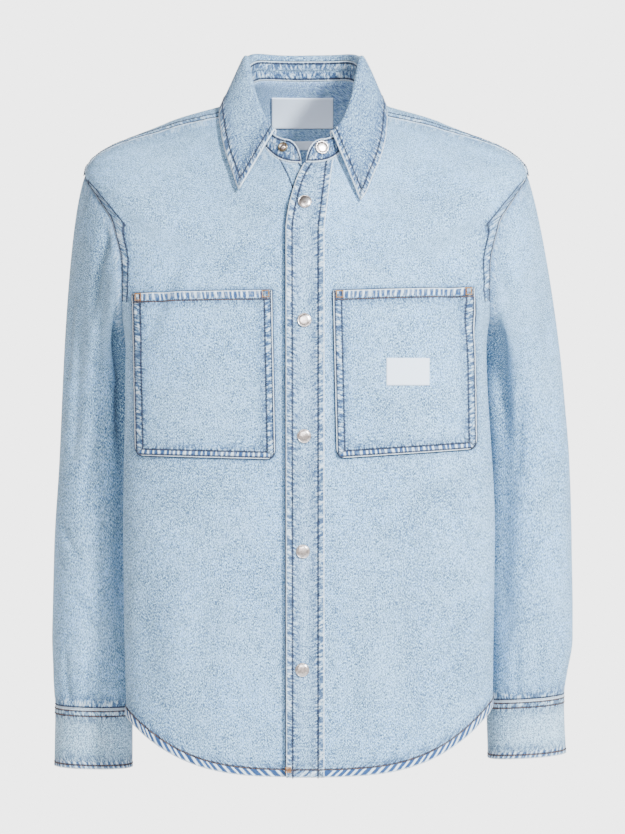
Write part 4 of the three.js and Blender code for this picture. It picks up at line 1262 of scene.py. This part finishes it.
def metal_material(name, light, dark, roughness):
    r = Recipe(name, roughness, 1.0)
    place = r.add("TexCoord").outputs["Object"]
    tint = r.mix(r.ramp(r.noise(place, 420.0, 4.0), 0.35, 0.7), light, dark)
    return r.finish(tint, r.noise(place, 900.0, 3.0), 0.00005)


def floor_material():
    r = Recipe("pale_floor", 0.9)
    place = r.add("TexCoord").outputs["Object"]
    return r.finish(r.mix(r.noise(place, 3.0), colour(232, 232, 232), colour(236, 236, 236)))


outside = denim("washed_denim", PALE, BLUE)
# the collar, the stand and the stand's inside use the darker collar palette as painted shade
collar_outside = denim("collar_denim", COLLAR_PALE, COLLAR_BLUE, seed=5.0)
placket_outside = denim("placket_denim", PLACKET_PALE, BLUE, seed=11.0)
cuff_outside = denim("cuff_denim", CUFF_PALE, CUFF_BLUE, mark=0.9, seed=7.0)
inside = denim("denim_inside", INSIDE_PALE, INSIDE_BLUE, mark=0.15, cloud=0.5, seed=3.0)
stand_inside = denim("stand_inside", COLLAR_PALE, COLLAR_BLUE, mark=1.0, seed=9.0)
navy = thread_material("navy_thread", (0.014, 0.014, 0.028, 1), (0.045, 0.045, 0.08, 1))
brown = thread_material("brown_thread", (0.055, 0.028, 0.022, 1), (0.15, 0.075, 0.05, 1))
orange = thread_material("orange_thread", (0.34, 0.12, 0.02, 1), (0.55, 0.24, 0.06, 1))
tape_cloth = tape_material()
silver = metal_material("satin_snap", colour(236, 214, 202), colour(176, 154, 144), 0.3)
brass = metal_material("brass_rim", colour(180, 156, 124), colour(124, 102, 78), 0.35)


# Stitches
def stitch_tree():
    tree = bpy.data.node_groups.new("stitch_row", "GeometryNodeTree")
    tree.interface.new_socket("Geometry", in_out="INPUT", socket_type="NodeSocketGeometry")
    for name in ("Pitch", "Width", "Length"):
        tree.interface.new_socket(name, in_out="INPUT", socket_type="NodeSocketFloat")
    tree.interface.new_socket("Thread", in_out="INPUT", socket_type="NodeSocketMaterial")
    tree.interface.new_socket("Geometry", in_out="OUTPUT", socket_type="NodeSocketGeometry")
    add = tree.nodes.new
    given = add("NodeGroupInput")
    curve = add("GeometryNodeMeshToCurve")
    spots = add("GeometryNodeCurveToPoints")
    spots.mode = "LENGTH"
    ball = add("GeometryNodeMeshUVSphere")
    ball.inputs["Segments"].default_value = 5
    ball.inputs["Rings"].default_value = 4
    ball.inputs["Radius"].default_value = 1.0
    size = add("ShaderNodeCombineXYZ")
    instance = add("GeometryNodeInstanceOnPoints")
    real = add("GeometryNodeRealizeInstances")
    paint = add("GeometryNodeSetMaterial")
    result = add("NodeGroupOutput")
    link = tree.links.new
    link(given.outputs["Geometry"], curve.inputs["Mesh"])
    link(curve.outputs["Curve"], spots.inputs["Curve"])
    link(given.outputs["Pitch"], spots.inputs["Length"])
    link(spots.outputs["Points"], instance.inputs["Points"])
    link(spots.outputs["Rotation"], instance.inputs["Rotation"])
    link(ball.outputs["Mesh"], instance.inputs["Instance"])
    link(given.outputs["Width"], size.inputs["X"])
    link(given.outputs["Width"], size.inputs["Y"])
    link(given.outputs["Length"], size.inputs["Z"])
    link(size.outputs[0], instance.inputs["Scale"])
    link(instance.outputs["Instances"], real.inputs["Geometry"])
    link(real.outputs["Geometry"], paint.inputs["Geometry"])
    link(given.outputs["Thread"], paint.inputs["Material"])
    link(paint.outputs["Geometry"], result.inputs["Geometry"])
    return tree


def sew_rows(name, runs, tree, material, pitch=STITCH_PITCH, wide=STITCH_WIDE, long=STITCH_LONG):
    """Stitches along every run of points, as one plain mesh."""
    points, edges = [], []
    for run in runs:
        first = len(points)
        points += (run * MM).tolist()
        edges += [(first + k, first + k + 1) for k in range(len(run) - 1)]
    mesh = bpy.data.meshes.new(name + "_path")
    mesh.from_pydata(points, edges, [])
    path = bpy.data.objects.new(name + "_path", mesh)
    bpy.context.scene.collection.objects.link(path)
    modifier = path.modifiers.new("stitches", "NODES")
    modifier.node_group = tree
    given = {"Pitch": pitch * MM, "Width": wide * MM, "Length": long * MM, "Thread": material}
    for item in tree.interface.items_tree:
        if item.in_out == "INPUT" and item.name in given:
            modifier[item.identifier] = given[item.name]
    shown = path.evaluated_get(bpy.context.evaluated_depsgraph_get())
    sewn = bpy.data.meshes.new_from_object(shown)
    sewn.name = name
    path.modifiers.remove(modifier)
    bpy.data.objects.remove(path)
    sewn.polygons.foreach_set("use_smooth", np.ones(len(sewn.polygons), bool))
    piece = bpy.data.objects.new(name, sewn)
    bpy.context.scene.collection.objects.link(piece)
    print(f"STITCHES {name}: {len(sewn.polygons)} faces")
    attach(piece, "root")
    return piece


# Snaps
def revolve(name, profile, at, out, material_of, node, around=40):
    """A round fitting turned from a profile of radius and height, set on a point of the cloth."""
    out = unit(np.asarray(out, float))
    side = unit(np.cross(out, np.array([0.0, 0.0, 1.0])))
    other = np.cross(out, side)
    turn = np.linspace(0, 2 * np.pi, around, endpoint=False)
    ring = np.cos(turn)[:, None] * side + np.sin(turn)[:, None] * other
    vertices, faces, index = [], [], []
    for radius, height in profile[1:-1]:
        vertices += (at + ring * radius + out * height).tolist()
    low, high = len(vertices), len(vertices) + 1
    vertices += [(at + out * profile[0][1]).tolist(), (at + out * profile[-1][1]).tolist()]
    rings = len(profile) - 2
    for k in range(rings - 1):
        for i in range(around):
            n = (i + 1) % around
            faces.append((k * around + i, k * around + n, (k + 1) * around + n, (k + 1) * around + i))
            index.append(material_of(profile[k + 1], profile[k + 2]))
    for i in range(around):
        n = (i + 1) % around
        last = (rings - 1) * around
        faces.append((low, n, i, i))
        faces.append((high, last + i, last + n, last + n))
        index += [0, 0]
    faces = [face[:3] if len(set(face)) == 3 else face for face in faces]
    mesh = bpy.data.meshes.new(name)
    mesh.from_pydata((np.array(vertices) * MM).tolist(), [], faces)
    mesh.update()
    piece = bpy.data.objects.new(name, mesh)
    bpy.context.scene.collection.objects.link(piece)
    for material in (silver, brass):
        mesh.materials.append(material)
    mesh.polygons.foreach_set("material_index", np.array(index, np.int32))
    mesh.polygons.foreach_set("use_smooth", np.ones(len(mesh.polygons), bool))
    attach(piece, "root")
    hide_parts(node)
    return piece


def cap_profile():
    r, h = SNAP_DIAMETER / 2, SNAP_HEIGHT
    return [
        (0, 0), (r * 0.9, 0), (r * 0.97, h * 0.12), (r, h * 0.3), (r * 0.99, h * 0.48), (r * 0.95, h * 0.62),
        (r * 0.9, h * 0.7), (r * 0.86, h * 0.62), (r * 0.83, h * 0.6), (r * 0.8, h * 0.68), (r * 0.7, h * 0.82),
        (r * 0.5, h * 0.93), (r * 0.25, h * 0.99), (0, h),
    ]


def stud_profile():
    r = STUD_DIAMETER / 2
    return [
        (0, 0), (r, 0), (r, 0.8), (r * 0.95, 1.25), (r * 0.85, 1.45), (r * 0.74, 1.4), (r * 0.64, 0.9),
        (r * 0.5, 0.7), (r * 0.38, 0.75), (r * 0.33, 1.0), (r * 0.34, 1.9), (r * 0.36, 2.25), (r * 0.26, 2.5), (0, 2.55),
    ]


def on_front(x, z):
    v, a = place_at(x, z)
    point, out = torso(v, a), torso_out(v, a)
    return point + out * (lap_at(x) if x > 0 else 0), out


def plain(_low, _high):
    return 0


def rimmed(low, _high):
    return 1 if low[0] > STUD_DIAMETER / 2 * 0.72 else 0


def make_snaps():
    seat = DENIM / 2 + LAYER_GAP + BAND + LAYER_GAP
    for i, (x, z) in enumerate(FRONT_SNAPS):
        point, out = on_front(x, z)
        revolve(f"cap_front_{i + 1}", cap_profile(), point + out * (LAP + seat + 0.1), out, plain, f"snap_front_{i + 1}")
    angle = angle_at(5, 17)
    point, out = stand_point(angle, 0.6), stand_out(angle)
    revolve("cap_collar", cap_profile(), point + out * (DENIM / 2 + 0.6), out, plain, "snap_collar")
    angle = 2 * np.pi + angle_at(5, -25.5)
    point, out = stand_point(angle, 0.6), stand_out(angle)
    revolve("post_collar", stud_profile(), point + out * (DENIM / 2 + 0.4), out, rimmed, "stud_collar")
    for name, side in (("left", 1), ("right", -1)):
        c = CUFFS[side]
        at = np.array(CUFF_LAP_AT + 360 + CUFF_LAP * 0.45)
        point, out = cuff_point(side, np.array((c["seam"] + c["hem"]) / 2.0), at)
        revolve(f"cap_cuff_{name}", cap_profile(), point + out * (DENIM / 2 + 0.9), out, plain, f"snap_cuff_{name}")


# Bar tacks
def line_of(a, b):
    return np.linspace(a, b, 5)


def tack_outline(point, across, up, size):
    """A small square of dense stitches, as at the top corners of a pocket."""
    h = size / 2
    corners = [point + across * x * h + up * z * h for x, z in ((-1, -1), (1, -1), (1, 1), (-1, 1))]
    return [line_of(corners[k], corners[(k + 1) % 4]) for k in range(4)]


def tack_bar(point, across, up, wide, high, rows):
    lift = [up * high * (k / (rows - 1) - 0.5) for k in range(rows)]
    return [line_of(point + rise - across * wide / 2, point + rise + across * wide / 2) for rise in lift]


def make_tacks(panels):
    runs = []
    for name in ("pocket_left", "pocket_right"):
        outer, _ = panels[name].faces()
        for column in (3, -4):
            point = outer[-4, column] + panels[name].out[-4, column] * 0.35
            across = unit(outer[-4, column + 2] - outer[-4, column - 2])
            up = unit(outer[-2, column] - outer[-6, column])
            runs += tack_outline(point, across, up, 7)
    point, out = on_front(-18.7, -726.5)
    runs += tack_bar(point + out * (LAP + EDGE_ROLL + 3.2), np.array([1.0, 0, 0]), np.array([0, 0, 1.0]), 5, 5, 5)
    return runs


OUTSIDES = {
    "collar": collar_outside,
    "collar_stand": collar_outside,
    "placket": placket_outside,
    "cuff_left": cuff_outside,
    "cuff_right": cuff_outside,
}


# What lies on each panel; the panel gets painted shade beside it (beside the placket and pockets partly also indigo
# left unfaded)
LAID_ON = {
    "front_right": ("placket", "pocket_right"),
    "front_left": ("pocket_left",),
    "sleeve_right": ("front_right",),
    "sleeve_left": ("front_left",),
}


def build_shirt():
    made = [
        front(1), front(-1), back(), yoke(), sleeve(1), sleeve(-1), cuff(1), cuff(-1), stand(), leaf(),
        placket(), pocket("left"), pocket("right"),
    ]
    panels = {cloth.name: cloth for cloth in made}
    for name, above in LAID_ON.items():
        for other in above:
            panels[name].lies_under(panels[other].border())
    for cloth in made:
        node = cloth.name
        cloth.name = node + "_cloth"
        behind = stand_inside if node == "collar_stand" else inside
        make_cloth(cloth, node, [OUTSIDES.get(node, outside), behind])
    for name, size, back_side in (
        ("pocket_label", POCKET_LABEL, False), ("neck_label", NECK_LABEL, True), ("size_label", SIZE_LABEL, True),
    ):
        cloth = tape(name + "_tape", size, back_side)
        make_cloth(cloth, name, [tape_cloth, tape_cloth])
    tree = stitch_tree()
    sew_rows("stitches_navy", THREADS["navy"], tree, navy)
    sew_rows("stitches_brown", THREADS["brown"], tree, brown)
    sew_rows("bar_tacks", make_tacks(panels), tree, orange, pitch=1.2, wide=0.6, long=0.8)
    bpy.data.node_groups.remove(tree)
    make_snaps()


build_shirt()


# Stage: a pale room, brightest at the height of the eye and behind the shirt, and a pale floor
ROOM_LIGHT = 4.0
FRONT_ROOM = 0.2  # share of that light which the half of the room in front of the shirt gives
FAR_LIGHT = 0.4
FLOOR_Z = -1120


def make_stage():
    corners = [(x * 1500, y * 1500, FLOOR_Z) for x, y in ((-1, -1), (1, -1), (1, 1), (-1, 1))]
    floor = new_object("floor", np.array(corners), np.array([(0, 1, 2, 3)]), [floor_material()])
    world = bpy.data.worlds.new("pale_room")
    bpy.context.scene.world = world
    world.use_nodes = True
    nodes, links = world.node_tree.nodes, world.node_tree.links
    direction = nodes.new("ShaderNodeTexCoord")
    parts = nodes.new("ShaderNodeSeparateXYZ")
    steep = nodes.new("ShaderNodeMath")
    steep.operation = "ABSOLUTE"
    links.new(direction.outputs["Generated"], parts.inputs[0])
    links.new(parts.outputs["Z"], steep.inputs[0])

    def band(value, low, high, start, end):
        node = nodes.new("ShaderNodeMapRange")
        node.interpolation_type = "SMOOTHSTEP"
        for key, number in (("From Min", low), ("From Max", high), ("To Min", start), ("To Max", end)):
            node.inputs[key].default_value = number
        links.new(value, node.inputs["Value"])
        return node.outputs[0]

    strength = nodes.new("ShaderNodeMath")
    strength.operation = "MULTIPLY"
    links.new(band(steep.outputs[0], 0.18, 0.30, ROOM_LIGHT, FAR_LIGHT), strength.inputs[0])
    links.new(band(parts.outputs["Y"], -0.3, 0.5, FRONT_ROOM, 1.0), strength.inputs[1])
    links.new(strength.outputs[0], nodes["Background"].inputs["Strength"])
    nodes["Background"].inputs["Color"].default_value = (1, 1, 1, 1)


def soft_light(name, location, size, power, tint, aim=(0, 0, -0.36)):
    light = bpy.data.lights.new(name, "AREA")
    light.shape = "SQUARE"
    light.size = size
    light.energy = power
    light.color = tint
    piece = bpy.data.objects.new(name, light)
    piece.location = location
    direction = Vector(aim) - Vector(location)
    piece.rotation_euler = direction.to_track_quat("-Z", "Y").to_euler()
    bpy.context.scene.collection.objects.link(piece)


make_stage()
soft_light("key", (1.6, -2.4, 1.1), 0.45, 315, (0.71, 0.88, 1.0))
soft_light("fill", (-0.4, -3.0, 0.4), 1.2, 72, (0.78, 0.90, 1.0))

camera = bpy.data.cameras.new("camera")
camera.sensor_width = 36
camera.lens = 125.57
camera.shift_x = 0.0078
viewer = bpy.data.objects.new("camera", camera)
viewer.location = (0, -3.2, -0.353)
viewer.rotation_euler = (np.pi / 2, 0, 0)
bpy.context.scene.collection.objects.link(viewer)
bpy.context.scene.camera = viewer
